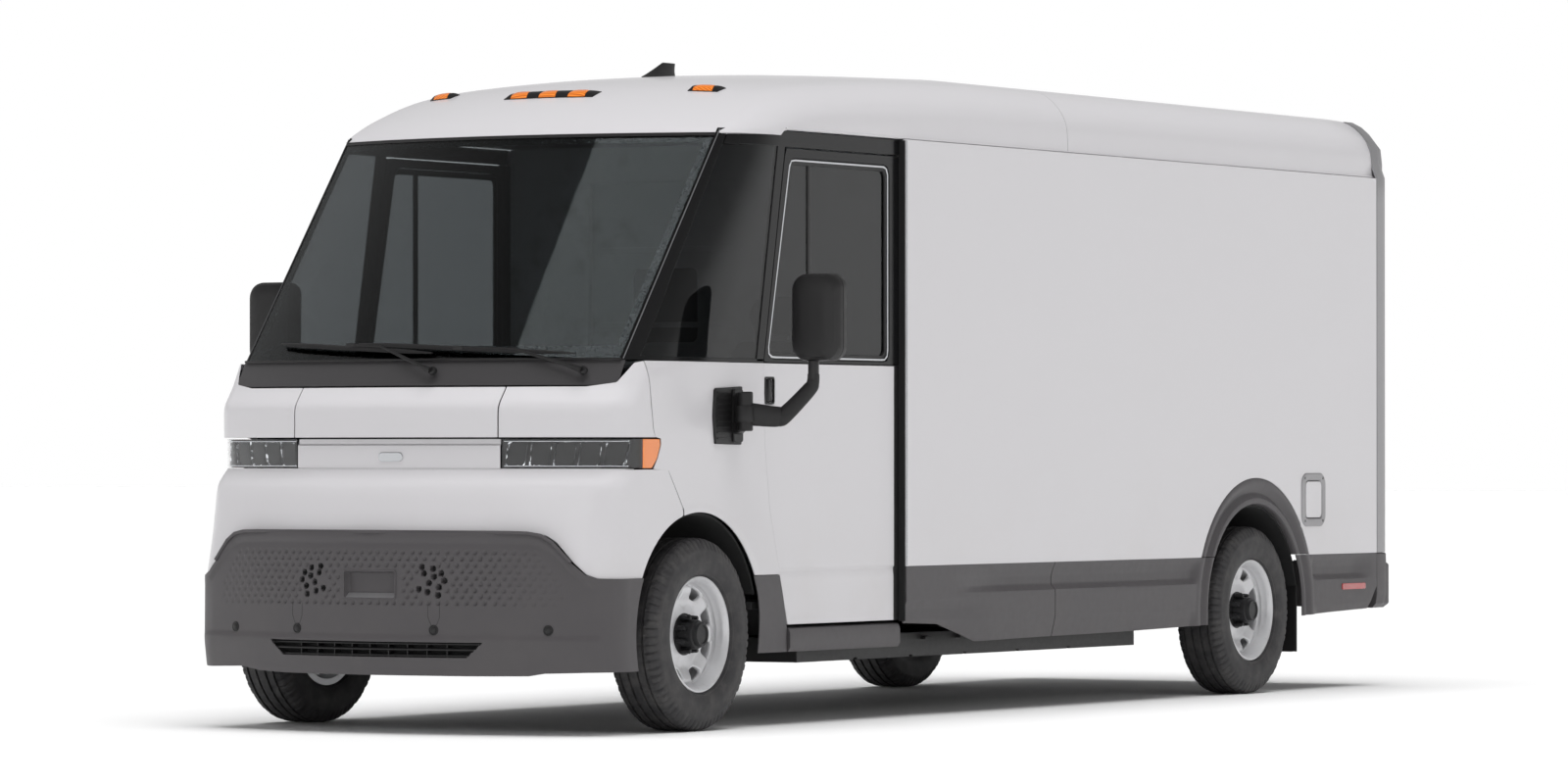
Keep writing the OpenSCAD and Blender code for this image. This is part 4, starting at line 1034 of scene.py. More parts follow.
def build_headlamps():
    """Clear covers over bright stepped cells, with an amber end round the corner."""
    lens_z0, lens_z1 = 995, 1104
    amber_a = -400
    for way, side in ((1, "left"), (-1, "right")):
        def band(skin, x0, a1, z0, z1, columns, rows, depth):
            low, high = [[skin.front(way * x0, z), skin.front(way * 800, z), skin.side(-460, z, way),
                          skin.side(a, z, way)] for z, a in ((z0, a1[0]), (z1, a1[1]))]
            left = [skin.front(way * x0, z) for z in (z0, z1)]
            right = [skin.side(a, z, way) for a, z in ((a1[0], z0), (a1[1], z1))]
            return skin.cover(coons(low, high, left, right, columns, rows), lambda x, a, z: -depth)
        clear = band(STRIP, 463, (amber_a, amber_a), lens_z0, lens_z1, 70, 8, 0)
        lens = panel(f"headlamp_lens_{side}", clear, CLEAR, 3, flip=way < 0)
        fixed(soften(lens, 2), "lens_clear", *(["headlamp_lenses"] if way > 0 else []))
        tail_low = [STRIP.side(a, lens_z0, way) for a in (amber_a + 1, -336)]
        tail_high = [STRIP.side(a, lens_z1, way) for a in (amber_a + 1, -280)]
        right = [STRIP.side(a, z, way) for a, z in ((-336, 995), (-300, 1030), (-276, 1082), (-280, 1104))]
        left = [STRIP.side(amber_a + 1, z, way) for z in (lens_z0, lens_z1)]
        amber = STRIP.cover(coons(tail_low, tail_high, left, right, 12, 12))
        tip = panel(f"turn_lens_{side}", amber, AMBER, 4, flip=way < 0)
        fixed(soften(tip, 2), "lens_amber")
        # Reflector cells: each is a faceted cup behind the cover
        edges = [470, 560, 650, 740, 830]
        cells = []
        for x0, x1 in zip(edges, edges[1:] + [915]):
            outline = [(x0 + 4, 1001), (x1 - 10, 1001), (x1 + 4, 1098), (x0 + 16, 1098)]
            mid = (sum(p[0] for p in outline) / 4, 1048)
            rings = []
            for shrink, depth in ((1.0, 8), (0.93, 10), (0.62, 34), (0.34, 46), (0.3, 40), (0.0, 36)):
                ring = []
                for i in range(16):
                    p = resample(outline + outline[:1], 16)[i]
                    x = mix(mid[0], p[0], shrink)
                    z = mix(mid[1], p[1], shrink)
                    ring.append(STRIP.at(way * x, z, -depth))
                rings.append(ring)
            cells.append(loft("cell", rings, FACETS, caps=False, smooth=12))
        back = band(STRIP, 464, (-345, -300), 997, 1102, 50, 6, 14)
        cells.append(panel("lamp_back", back, SATIN, 2, flip=way < 0))
        for z in (1003, 1096):
            line = [STRIP.at(way * x, z) + Vector((0, 9, 0)) for x in steps(468, 905, 30)]
            cells.append(tube("lamp_rail", line, 2.5, MIRRORED, 8))
        lamp = join(f"headlamp_cells_{side}", cells)
        fixed(lamp, "lamp_chrome", *(["headlamp_housings"] if way > 0 else []))


# -------- glasshouse
GLASS_FOOT = (TIP + 254, BELT_Z)
GLASS_HEAD = (96, 2274)
WS_HALF = 852


def bow(x):
    return NOSE_R - math.sqrt(NOSE_R ** 2 - x * x)


def glass_a(z):
    """Where the middle of the windshield is at a height."""
    return mix(GLASS_FOOT[0], GLASS_HEAD[0], (z - GLASS_FOOT[1]) / (GLASS_HEAD[1] - GLASS_FOOT[1]))


def flank(t, z):
    """The corner between windshield and door at t from 0 to 1, in plan view."""
    a0 = glass_a(z) + bow(WS_HALF)
    a2 = mix(100, 597, (z - BELT_Z) / 870)
    x = (1 - t) ** 2 * WS_HALF + 2 * t * (1 - t) * 928 + t * t * CAB_X
    a = (1 - t) ** 2 * a0 + 2 * t * (1 - t) * (a0 + 0.3 * (a2 - a0)) + t * t * a2
    return x, a


def flank_x(a, z):
    """How wide the glasshouse is at a and a height."""
    if a >= flank(1, z)[1]:
        return CAB_X
    low, high = 0.0, 1.0
    for _ in range(24):
        t = (low + high) / 2
        low, high = (t, high) if flank(t, z)[1] < a else (low, t)
    return flank(low, z)[0]


POST = [(BELT_Z, 424), (2236, 588)]
DOOR_FRONT = [(386, 671), (834, 530), (1087, 493), (1286, 482), (1400, 484), (2233, 648)]


def build_glasshouse():
    # Windshield
    grid = [[(x, glass_a(z) + bow(x), z) for x in steps(-WS_HALF + 8, WS_HALF - 8, 40)]
            for z in steps(BELT_Z + 4, 2268, 16)]
    fixed(soften(panel("windshield_glass", grid, GLASS, 6), 1.5), "tinted_glass", "windshield")
    # Black border behind its edges, and the seal above it
    def border(x0, x1, z0, z1):
        rows = [[(x, glass_a(z) + bow(x) + 9, z) for x in steps(x0, x1, 40)] for z in steps(z0, z1, 4)]
        return panel("border", rows, FRIT, 1.5)
    reach = WS_HALF - 10
    edges = [border(-reach, reach, BELT_Z + 4, BELT_Z + 52), border(-reach, reach, 2238, 2266),
             border(reach - 30, reach, BELT_Z + 50, 2240), border(-reach, 30 - reach, BELT_Z + 50, 2240)]
    fixed(join("windshield_border", edges), "black_trim")
    seal = [(x, glass_a(2270) + bow(x), 2271) for x in steps(6 - WS_HALF, WS_HALF - 6, 40)]
    fixed(tube("windshield_seal", seal, 7, SATIN, 8), "black_trim")
    # Cowl panel
    rows = [[(x, along(BROW_LINE, z) + bow(x) + 3, z) for x in steps(-865, 865, 50)]
            for z in steps(1306, BELT_Z, 8)]
    fixed(soften(panel("cowl_skin", rows, COWL, 6), 3), "cladding_grey", "cowl_panel")
    line = [(x, glass_a(BELT_Z) + bow(x) - 5, BELT_Z + 3) for x in steps(-WS_HALF, WS_HALF, 40)]
    fixed(tube("cowl_seal", line, 5, SATIN, 8), "black_trim")
    parts = []
    # Pillar beside the windshield, following the corner
    rows = []
    for z in steps(BELT_Z, 2298, 14):
        a_end = along([(BELT_Z, -346), (2270, 300)], z)
        t_end = next(t for t in steps(0, 1, 60) if flank(t, z)[1] >= a_end)
        rows.append([(WS_HALF - 6, glass_a(z) + bow(WS_HALF - 6) - 3, z)]
                    + [(*flank(t, z), z) for t in steps(0.0, t_end, 8)])
    parts.append(soften(panel("pillar", rows, GLOSS, 22), 5))
    # Quarter window's post and the header over window and door
    rows = []
    for z in steps(BELT_Z + 2, 2240, 12):
        a0, a1 = along(POST, z), along(DOOR_FRONT, z) - 4
        rows.append([(flank_x(a, z), a, z) for a in steps(a0, a1, 5)])
    parts.append(soften(panel("post", rows, GLOSS, 20), 3))
    rows = []
    for z in steps(2236, 2298, 3):
        a0 = along([(BELT_Z, -346), (2270, 300)], z)
        rows.append([(flank_x(a, z), a, z) for a in steps(a0 + 4, CARGO_FRONT - 2, 40)])
    parts.append(soften(panel("header", rows, GLOSS, 16), 2))
    rows = [[(flank_x(a, z), a, z) for a in steps(-352, 480, 40)] for z in (BELT_Z - 1, BELT_Z + 14)]
    parts.append(soften(panel("sill_trim", rows, GLOSS, 14), 2))
    both(join("window_frame", parts), "window_frame", "black_trim", "window_frames")
    # Bright line along the windshield's sides
    line = [(flank(0.02, z)[0], flank(0.02, z)[1] - 2, z) for z in steps(BELT_Z + 4, 2290, 20)]
    both(tube("windshield_line", line, 2.6, BRIGHT, 6), "windshield_line", "trim_metal")
    # Quarter windows
    rows = []
    for z in steps(BELT_Z + 14, 2238, 14):
        a0 = along([(BELT_Z, -350), (2270, 296)], z)
        rows.append([(flank_x(a, z) - 3.5, a, z) for a in steps(a0, along(POST, z) + 6, 28)])
    pane = panel("quarter_glass", rows, SIDE_GLASS, 5)
    both(pane, "quarter_glass", "tinted_glass", "quarter_windows")


SEAM = [(-110, 816), (-109, 840), (-146, 890), (-216, 982), (-222, 987), (-326, 991), (-296, 1030),
        (-271, 1082), (-274, 1106), (-312, 1112), (-324, 1135), (-366, 1397)]


def seam_place(a, z):
    """How wide the fender is: it leaves the nose's rounded corner and runs into the flat side."""
    start = along(SEAM_BASE, z, 1, 0)
    skin = BROW if z > 1050 else APRON
    inset = CAB_X - skin.point(*skin.side(start, z))[0]
    return CAB_X - inset * (1 - ease(0, 260, a - start))


def build_fenders():
    """White side panels from the nose's seam to the door, over the front wheel."""
    low = [(-110, 816)] + arc(0, HUB_Z, ARCH_R, 103, 28.2, 26)[1:] + [(500, 584), (603, 584)]
    high = [(-366, 1397), (-100, 1397), (200, 1397), (480, 1397)]
    rear = [(a - 4, z) for z, a in [(584, 609), (834, 530), (1087, 493), (1286, 482), (1397, 484)]]
    def place(p):
        lip = math.hypot(p[0], p[1] - HUB_Z) - ARCH_R
        return (seam_place(*p) + 3.5 * (1 - ease(6, 44, lip)), p[0], p[1])
    grid = [[place(p) for p in row] for row in coons(low, high, SEAM, rear, 110, 130)]
    fender = soften(panel("fender", grid, PAINT, 5), 3)
    both(fender, "fender", "paint_white", "fenders")
    # Dark patch of cladding between the wheel and the door
    low = [(452, 283), (560, 283), (676, 283)]
    high = [(409, 582), (500, 582), (604, 582)]
    front = arc(0, HUB_Z, ARCH_R, -10.3, 28, 12)
    rear = [(676, 283), (668, 384), (604, 582)]
    grid = [[(CAB_X - 10 * ease(520, 300, z) if z < 520 else CAB_X, a, z) for a, z in row]
            for row in coons(low, high, front, rear, 24, 30)]
    both(soften(panel("sill_corner", grid, CLAD, 6), 4), "sill_corner", "cladding_grey")


# -------- roof
BROW_RISE = [(96, 2276), (130, 2300), (230, 2362), (340, 2415), (457, 2459), (570, 2490), (707, 2514),
             (880, 2534), (1100, 2553), (1500, 2578), (2200, 2600), (2960, 2605), (9000, 2605)]
ROOF_HALF = curve([(0, 2605), (300, 2600), (600, 2585), (720, 2572), (800, 2556), (845, 2533), (880, 2503),
                   (908, 2468), (926, 2430), (934, 2398),
                   (937, 2366)], 3) + [(938, 2345), (939, 2322), (939, 2302)]


def roof_corner(x):
    """How far the roof's front edge lies behind its middle."""
    if x <= WS_HALF:
        return bow(x)
    t = clamp((x - WS_HALF) / (939 - WS_HALF))
    return bow(WS_HALF) + 330 * (1 - math.sqrt(max(0.0, 1 - t ** 1.6)))


def roof_ring(a):
    """One section of the roof, from the left edge over the crown to the right edge."""
    crown = along(BROW_RISE_FINE, a)
    rise = (crown - ROOF_Z) / (CROWN_Z - ROOF_Z)
    follow = 1 - ease(900, 2700, a)
    half = []
    for x, z in ROOF_HALF:
        back = roof_corner(x) * follow
        height = ROOF_Z + (z - ROOF_Z) * rise if rise > 0 else crown
        half.append((x, a + back, height))
    left = list(reversed(half))
    right = [(-x, q, z) for x, q, z in half[1:]]
    return left + right


BROW_RISE_FINE = curve(BROW_RISE, 6)


def build_roof():
    front_stations = steps(100, 700, 26) + steps(740, 2500, 24) + [2700, 2850, ROOF_SEAM - 3]
    rings = [roof_ring(a) for a in front_stations]
    rings = [[(x, min(a, ROOF_SEAM - 3), z) for x, a, z in ring] for ring in rings]
    cap = panel("roof_cap_skin", rings, PAINT, 14, flip=True)
    fixed(soften(cap, 3), "paint_white", "roof_cap")
    rear = [roof_ring(a) for a in (ROOF_SEAM, ROOF_SEAM + 40, 3600, 4300, 5000, 5600, CARGO_REAR - 26)]
    for back, drop in ((5, 1.5), (14, 7), (20, 16)):
        rear.append([(x * (1 - drop / 1400), CARGO_REAR - 26 + back, z - drop)
                     for x, _, z in roof_ring(6000)])
    shell = panel("cargo_roof_skin", rear, PAINT, 14, flip=True)
    fixed(soften(shell, 3), "paint_white", "cargo_roof")
    # Drip rail along the roof's lower edge
    for way, side in ((1, "left"), (-1, "right")):
        line = [(way * 941, a, 2306) for a in steps(640, CARGO_REAR - 10, 40)]
        fixed(tube(f"roof_rail_{side}", line, 3.4, PAINT, 8), "paint_white")


def roof_height(x, a):
    """Height of the roof's skin over a point near its front."""
    low, high = 90.0, 3000.0
    half = along([(p[0], p[1]) for p in ROOF_HALF], abs(x))
    for _ in range(30):
        mid = (low + high) / 2
        reach = mid + roof_corner(abs(x)) * (1 - ease(900, 2700, mid))
        low, high = (mid, high) if reach < a else (low, mid)
    rise = (along(BROW_RISE_FINE, low) - ROOF_Z) / (CROWN_Z - ROOF_Z)
    return ROOF_Z + (half - ROOF_Z) * rise


def build_roof_fittings():
    shells, lenses = [], []
    for x0, half in ((0, 205), (-608, 58), (608, 58)):
        a0 = 430 if x0 == 0 else 520
        rows = []
        for s in steps(-1, 1, 28 if x0 == 0 else 12):
            x = x0 + s * half
            end = math.sqrt(max(0.0, 1 - abs(s) ** 8))
            ring = []
            for u in steps(-1, 1, 8):
                a = a0 + u * 34 + bow(x) * 0.9
                ring.append((x, a, roof_height(x, a) + 2 + 15 * end * (1 - u * u) ** 0.5 * (1 - 0.3 * u)))
            rows.append(ring)
        shells.append(panel("lamp_shell", rows, SATIN, 3, flip=True))
        for lx in ((-133, 0, 133) if x0 == 0 else (0,)):
            x = x0 + lx
            rows = []
            for s in steps(-1, 1, 8):
                ring = []
                for u in steps(-1, 0.2, 6):
                    a = a0 + u * 33 + bow(x + s * 38) * 0.9 - 2
                    dome = (1 - u * u) ** 0.5 * (1 - 0.3 * u)
                    ring.append((x + s * 38, a,
                                 roof_height(x + s * 38, a) + 4.5 + 15 * dome * (1 - 0.25 * s ** 4)))
                rows.append(ring)
            lenses.append(panel("marker", rows, AMBER, 3, flip=True))
    fixed(join("marker_lamp_shells", shells), "black_trim")
    fixed(join("marker_lamp_lenses", lenses), "lens_amber", "amber_lenses")
    # Antenna fin
    rings = []
    for t in steps(0, 1, 14):
        length = mix(262, 96, t ** 0.7)
        start = mix(1108, 1262, t ** 0.9)
        thick = mix(36, 7, t ** 0.8)
        z = mix(2556, 2620, t)
        rings.append([(thick * math.sin(q), start + length * (0.5 - 0.5 * math.cos(q)), z)
                      for q in turns(24)])
    fin = loft("antenna_fin", rings, SATIN)
    fixed(soften(fin, 3), "black_trim", "roof_fittings")


# -------- doors
DOOR_REAR = 1500


def ring_panel(name, outer, inner, place, material, thick, layers=6, edge=2.0):
    """A flat frame between two closed outlines of the same number of points."""
    rows = [[place(tuple(mix(a, b, k / layers) for a, b in zip(p, q))) for p, q in zip(outer, inner)]
            for k in range(layers + 1)]
    n = len(outer)
    points, faces = [], []
    for back in (0, thick):
        for row in rows:
            points += [(p[0] - back, p[1], p[2]) for p in row]
    block = (layers + 1) * n
    faces += grid_faces(layers + 1, n, closed=True)
    faces += [tuple(block + k for k in reversed(f)) for f in grid_faces(layers + 1, n, closed=True)]
    for start, turn in ((0, 1), (layers * n, -1)):
        for i in range(n):
            f = (start + i, block + start + i, block + start + (i + 1) % n, start + (i + 1) % n)
            faces.append(f if turn > 0 else tuple(reversed(f)))
    piece = mesh_piece(name, points, faces, material)
    return soften(piece, edge) if edge else piece


def match_outline(outline, n):
    """An outline with n points, evenly spaced."""
    return resample(outline + outline[:1], n)[:-1]


def between(outer, inner, t):
    """An outline a share t of the way from one outline to another."""
    return [(mix(p[0], q[0], t), mix(p[1], q[1], t)) for p, q in zip(outer, inner)]


def window_outline(inset, r, n=120):
    """The door window's outline in n points: its front edge leans with the post."""
    a_low, a_high = 508 + inset * 1.15, 676 + inset
    z0, z1, a1 = BELT_Z + 12 + inset, 2195 - inset, 1462 - inset
    out = arc(a1 - r, z1 - r, r, 0, 90, 6)
    out += [(a_high + r * 1.2, z1), (a_high + 0.35 * r, z1 - 0.12 * r), (a_high - 1, z1 - 0.7 * r)]
    out += [(a_low + 0.12 * r, z0 + 0.9 * r), (a_low + 0.4 * r, z0 + 0.15 * r), (a_low + 1.3 * r, z0)]
    out += arc(a1 - r, z0 + r, r, 270, 360, 6)
    return match_outline(out, n)


def build_doors():
    # White lower skin, hung on the door's front edge line
    body = "cab_door_SIDE"
    edge = [(671, 389), (608, 584), (530, 834), (493, 1087), (482, 1286), (484, 1397)]
    low = [(671, 389), (1100, 389), (DOOR_REAR, 389)]
    high = [(484, 1397), (1000, 1397), (DOOR_REAR, 1397)]
    rear = [(DOOR_REAR, 389), (DOOR_REAR, 1397)]
    def skin_place(p):
        a, z = p
        crease = -5.5 * (1 - ease(596, 606, z)) + 3.0 * (1 - ease(560, 596, z))
        pocket = -22 * ease(0, 7, min(a - 492, 566 - a)) * ease(0, 7, min(z - 1240, 1345 - z))
        return (CAB_X - 2 + min(crease, 0) + pocket, a, z)
    grid = [[skin_place(p) for p in row] for row in coons(low, high, edge, rear, 150, 140)]
    skin = soften(panel("door_skin", grid, PAINT, 6), 2.5)
    both(skin, "door_skin", "paint_white", "door", body=body)
    # Handle pocket's dark bowl and the pull
    cup = soften(ring_panel("door_pocket", match_outline(round_rect(493, 1240, 566, 1345, 10, 5), 40),
                            match_outline(round_rect(499, 1247, 560, 1338, 8, 5), 40),
                            lambda p: (CAB_X - 1.0, p[0], p[1]), GLOSS, 8, 3, 0), 1.0)
    both(cup, "door_pocket", "black_trim", body=body)
    pull = loft("door_pull", [[(CAB_X - 13 + 8 * math.sin(math.pi * v) + dx, a, z) for dx, z in
                               ((0, 1248), (3, 1252), (4, 1292), (3, 1333), (0, 1337), (-4, 1333),
                                (-4, 1252))]
                              for v, a in [(k / 12, mix(500, 557, k / 12)) for k in range(13)]], GLOSS)
    both(soften(pull, 1.5), "door_pull", "black_trim", "door_handle", body="door_handle_SIDE")
    # Black upper frame round the window, with a bright line
    outer = match_outline([(1586, 2230), (1000, 2230), (651, 2230), (486, 1401), (1000, 1401), (1586, 1401)],
                          96)
    hole = window_outline(0, 38, 96)
    first = min(range(96), key=lambda i: math.dist(hole[i], (1462, 2195)))
    hole = hole[first:] + hole[:first]
    upper = ring_panel("door_frame", outer, hole, lambda p: (CAB_X - 2, p[0], p[1]), GLOSS, 38, 5, 2)
    both(upper, "door_frame", "black_trim", body=body)
    bright = ring_panel("window_line", window_outline(5, 34),
                        window_outline(13, 28), lambda p: (CAB_X - 3.5, p[0], p[1]), BRIGHT, 10, 2, 1.5)
    both(bright, "door_window_line", "trim_metal", body=body)
    seal = ring_panel("window_seal", window_outline(0.5, 38),
                      window_outline(26, 22), lambda p: (CAB_X - 9, p[0], p[1]), SATIN, 9, 3, 2)
    both(seal, "door_window_seal", "black_trim", body=body)
    # Glass: a fixed front light and a sliding rear pane, with the bar between them
    low, high = [(526, 1426), (1000, 1426), (1448, 1426)], [(690, 2180), (1000, 2180), (1448, 2180)]
    pane = coons(low, high, [(526, 1426), (690, 2180)], [(1448, 1426), (1448, 2180)], 10, 8)
    glass = panel("door_pane", [[(CAB_X - 17, a, z) for a, z in row] for row in pane], SIDE_GLASS, 4)
    both(glass, "door_pane", "tinted_glass", "door_glass", body=body)
    bar = prism("window_bar", round_rect(CAB_X - 27, 838, CAB_X - 12, 862, 4, 3), 1424, 2184, "z", SATIN, 0)
    both(bar, "door_window_bar", "black_trim", body=body)
    # Rear edge in the pocket, lining, and the grab bar
    strip = prism("rear_edge", round_rect(CAB_X - 40, DOOR_REAR - 1, CAB_X - 6, 1588, 6, 4), 389, 1399, "z",
                  SATIN, 0)
    both(strip, "door_rear_edge", "black_trim", body=body)
    inner = [(512, 1390), (690, 400), (1580, 400), (1580, 1390)]
    lining = prism("door_lining", inner, CAB_X - 41, CAB_X - 28, "x", GRAIN, 5)
    both(lining, "door_lining", "interior_grey", body=body)
    grab = tube("grab", curve([(CAB_X - 41, 1180, 1180), (CAB_X - 70, 1180, 1190), (CAB_X - 74, 1180, 1280),
                               (CAB_X - 70, 1180, 1370), (CAB_X - 41, 1180, 1380)], 6), 10, SATIN, 12)
    both(grab, "door_grab_bar", "interior_grey", body=body)


# -------- cargo body
SKIRT = [(602, 0), (596, -1), (575, -11), (545, -20), (512, -21), (497, -10), (490, 0), (470, 1), (380, 0),
         (352, -6), (300, -18), (280, -26)]


def skirt_bottom(a):
    return along([(1500, 377), (1824, 366), (1980, 330), (2150, 288), (4261, 312), (4900, 325), (5400, 342),
                  (5794, 352), (5900, 470)], a)


ARCH_WIDE = FLARE_R - ARCH_R
ARCH_FACE = [(0, -7), (5, 1), (20, 3), (28, 1), (37, -10), (52, -15), (66, -10), (80, 0), (94, 2.5),
             (108, 2), (ARCH_WIDE, 0)]


def skirt_face(name, a, z):
    """How far a skirt's face lies from the body's side."""
    cove = 1.0
    if name == "front":
        cove = ease(1900, 2350, a)
    if name == "rear":
        cove = 1 - ease(5650, 5860, a)
    face = along(SKIRT[::-1], z) * (cove if z > 490 else 1)
    if name == "front" and z < 470:
        face -= 16 * (1 - ease(1850, 2300, a)) * ease(470, 420, z)
    out = math.hypot(a - REAR_AXLE, max(z - HUB_Z, 0)) - ARCH_R
    return mix(along(ARCH_FACE, clamp(out, 0, ARCH_WIDE)), face, ease(ARCH_WIDE - 6, ARCH_WIDE + 46, out))


def build_skirts():
    """Dark lower cladding with its cove, in panels that meet at joints and at the rear wheel arch."""
    def arch_edge(z, way):
        return REAR_AXLE + way * math.sqrt((ARCH_R + 2) ** 2 - max(z - HUB_Z, 0) ** 2)
    for name, columns in (("front", 90), ("middle", 110), ("rear", 90)):
        rows = []
        for z_t in steps(0, 1, 60):
            row = []
            for u in steps(0, 1, columns):
                guess = {"front": mix(CARGO_FRONT, 2795, u), "middle": mix(2799, REAR_AXLE - ARCH_R, u),
                         "rear": mix(REAR_AXLE + ARCH_R, 5884, u)}[name]
                z = mix(skirt_bottom(guess), SKIRT_Z, z_t)
                ends = {"front": (CARGO_FRONT, 2795), "middle": (2799, arch_edge(z, -1)),
                        "rear": (arch_edge(z, 1), 5884)}[name]
                a = mix(*ends, u ** 0.6 if name == "middle" else u)
                row.append((BODY_X + skirt_face(name, a, z), a, z))
            rows.append(row)
        piece = soften(panel(f"skirt_{name}", rows, CLAD, 7), 3)
        both(piece, f"skirt_{name}", "cladding_grey", "side_cladding" if name == "front" else "")
    # Rear wheel arch trim: outer band, cove and inner lip, swept over the arch down to the skirts
    section = [(FLARE_R - r, x) for r, x in [(0, -3), *[(ARCH_WIDE - p, q) for p, q in ARCH_FACE[::-1][1:]]]]
    section += [(ARCH_R, -26), (ARCH_R + 6, -32), (FLARE_R - 8, -32), (FLARE_R, -24)]
    rings = []
    for u in steps(0, 1, 84):
        ring = []
        for r, x in section:
            low = math.asin((SKIRT_Z + 2.5 - HUB_Z) / r)
            t = mix(low, math.pi - low, u)
            ring.append((BODY_X + x, REAR_AXLE + r * math.cos(t), HUB_Z + r * math.sin(t)))
        rings.append(ring)
    both(soften(loft("arch_trim", rings, CLAD), 1.5), "rear_arch_trim", "cladding_grey")
    # Sill under the cab door
    section = [(CAB_X - 8, 283), (CAB_X + 2, 300), (CAB_X + 2, 356), (CAB_X - 4, 372), (CAB_X - 14, 378),
               (CAB_X - 60, 380), (CAB_X - 60, 290), (CAB_X - 20, 283)]
    rings = [[(x, a, z) for x, z in section] for a in steps(678, CARGO_FRONT - 2, 12)]
    both(soften(loft("door_sill", rings, CLAD), 2), "door_sill", "cladding_grey")
    step = [[(x, a, 388 + 3 * ((i + j) % 2)) for i, x in enumerate(steps(842, 880, 6))]
            for j, a in enumerate(steps(690, 1500, 90))]
    both(panel("door_step", step, SATIN, 4, flip=True), "door_step_grip", "cladding_grey")
    # Dark end of the door's pocket: a near-black strip standing in the gap as painted shade
    strip = slab("pocket", (CAB_X - 6, CARGO_FRONT - 6, 384), (BODY_X - 6, CARGO_FRONT + 3, 2296), WELL, 2)
    both(strip, "door_pocket_seal", "black_trim")


def build_charge_port():
    outer = match_outline(round_rect(5106, 727, 5349, 965, 52, 8), 96)
    mid = match_outline(round_rect(5120, 741, 5335, 951, 42, 8), 96)
    inner = match_outline(round_rect(5150, 764, 5312, 930, 26, 8), 96)
    rings = [(0.5, outer), (5, between(outer, mid, 0.35)), (5.5, mid), (4, between(mid, inner, 0.75)),
             (-2, inner), (-70, inner), (-76, inner), (-76, outer), (-10, outer)]
    points = [(BODY_X + out, a, z) for out, line in rings for a, z in line]
    faces = grid_faces(len(rings), 96, closed=True)
    faces += [(8 * 96 + i, 8 * 96 + (i + 1) % 96, (i + 1) % 96, i) for i in range(96)]
    surround = mesh_piece("port_surround", points, faces, GREY)
    fixed(surround, "cladding_grey", "charge_port_frame")
    square = match_outline(round_rect(5103, 723, 5352, 969, 3, 8), 96)
    inset = [(mix(a, PORT_A, 0.02), mix(z, PORT_Z, 0.02)) for a, z in outer]
    filler = ring_panel("port_plate", square, inset,
                        lambda p: (BODY_X + 0.6, p[0], p[1]), PAINT, 6, 3, 0.5)
    fixed(filler, "paint_white")
    screws = [turned_on("screw", (BODY_X + 3.5, a, z), (1, 0, 0),
                        [(0, 0.4), (2.2, 0.6), (2.4, 2.2), (5, 2.6), (7, 1.2),
                                                                   (7.4, -2)], SATIN, 18)
              for a in (5138, 5318) for z in (752, 942)]
    fixed(join("port_screws", screws), "black_trim")
    flap = ring_panel("flap", match_outline(round_rect(5154, 767, 5309, 927, 22, 8), 64),
                      [(5231 + 0.01 * math.cos(t), 847 + 0.01 * math.sin(t)) for t in turns(64)],
                      lambda p: (BODY_X + 1, p[0], p[1]), PAINT, 5, 5, 2)
    put(flap, "charge_flap", "paint_white", "charge_flap")
    # Socket in the bowl
    back = slab("back", (BODY_X - 74, 5150, 765), (BODY_X - 66, 5312, 930), SATIN, 1)
    ring = turned_on("socket", (BODY_X - 66, 5231, 870), (1, 0, 0),
                     [(0, 6), (26, 6), (27, 16), (34, 18), (36, 14), (36, 0)], SATIN, 48)
    pins = [turned_on("pin", (BODY_X - 62, 5231 + 14 * math.cos(t), 870 + 14 * math.sin(t)), (1, 0, 0),
                      [(0, 14), (3, 14), (4, 12), (4, 0)], BRIGHT, 16)
            for t in [k * 1.2566 for k in range(5)]]
    fixed(join("charge_socket", [back, ring] + pins), "black_trim")


def build_body_trim():
    """Bright strips on the cargo sides' front edges, and rounded posts at the rear corners."""
    edge = tube("edge", [(BODY_X + 1, CARGO_FRONT + 2, z) for z in steps(606, 2296, 4)], 2.2, BRIGHT, 8)
    both(edge, "skin_edge_trim", "trim_metal")
    # Rear corner posts: softly rounded metallic trims
    out = [(BODY_X - 9, 5888), (BODY_X + 1.5, 5890), (BODY_X + 2, 5950), (BODY_X - 2, 5978),
           (BODY_X - 16, 5996), (BODY_X - 44, 6001), (BODY_X - 60, 6000), (BODY_X - 60, 5992),
           (BODY_X - 30, 5988), (BODY_X - 9, 5970)]
    rings = []
    for z in steps(604, ROOF_Z + 2, 16):
        rings.append([(x, a, z) for x, a in out])
    for z, x_in in ((2366, 2), (2430, 8), (2468, 30), (2503, 58), (2533, 93), (2556, 138)):
        rings.append([(x - x_in - 24 * ease(2300, 2366, z), a, z + (4 if x > BODY_X - 20 else -4))
                      for x, a in out])
    post = loft("corner", rings, GREY)
    both(soften(post, 1.5), "rear_corner_trim", "trim_metal")


def tidy_cad(name, material, edge, slot):
    """Gives a CAD piece its finish, with its edges broken."""
    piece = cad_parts[name]
    piece.data.materials.clear()
    piece.data.materials.append(material)
    for f in piece.data.polygons:
        f.material_index = 0
    weld = piece.modifiers.new("weld", "WELD")
    weld.merge_threshold = 0.00004
    if edge:
        bevel = piece.modifiers.new("edge", "BEVEL")
        bevel.width = edge / 1000
        bevel.segments = 2
        bevel.limit_method = "ANGLE"
        bevel.angle_limit = math.radians(50)


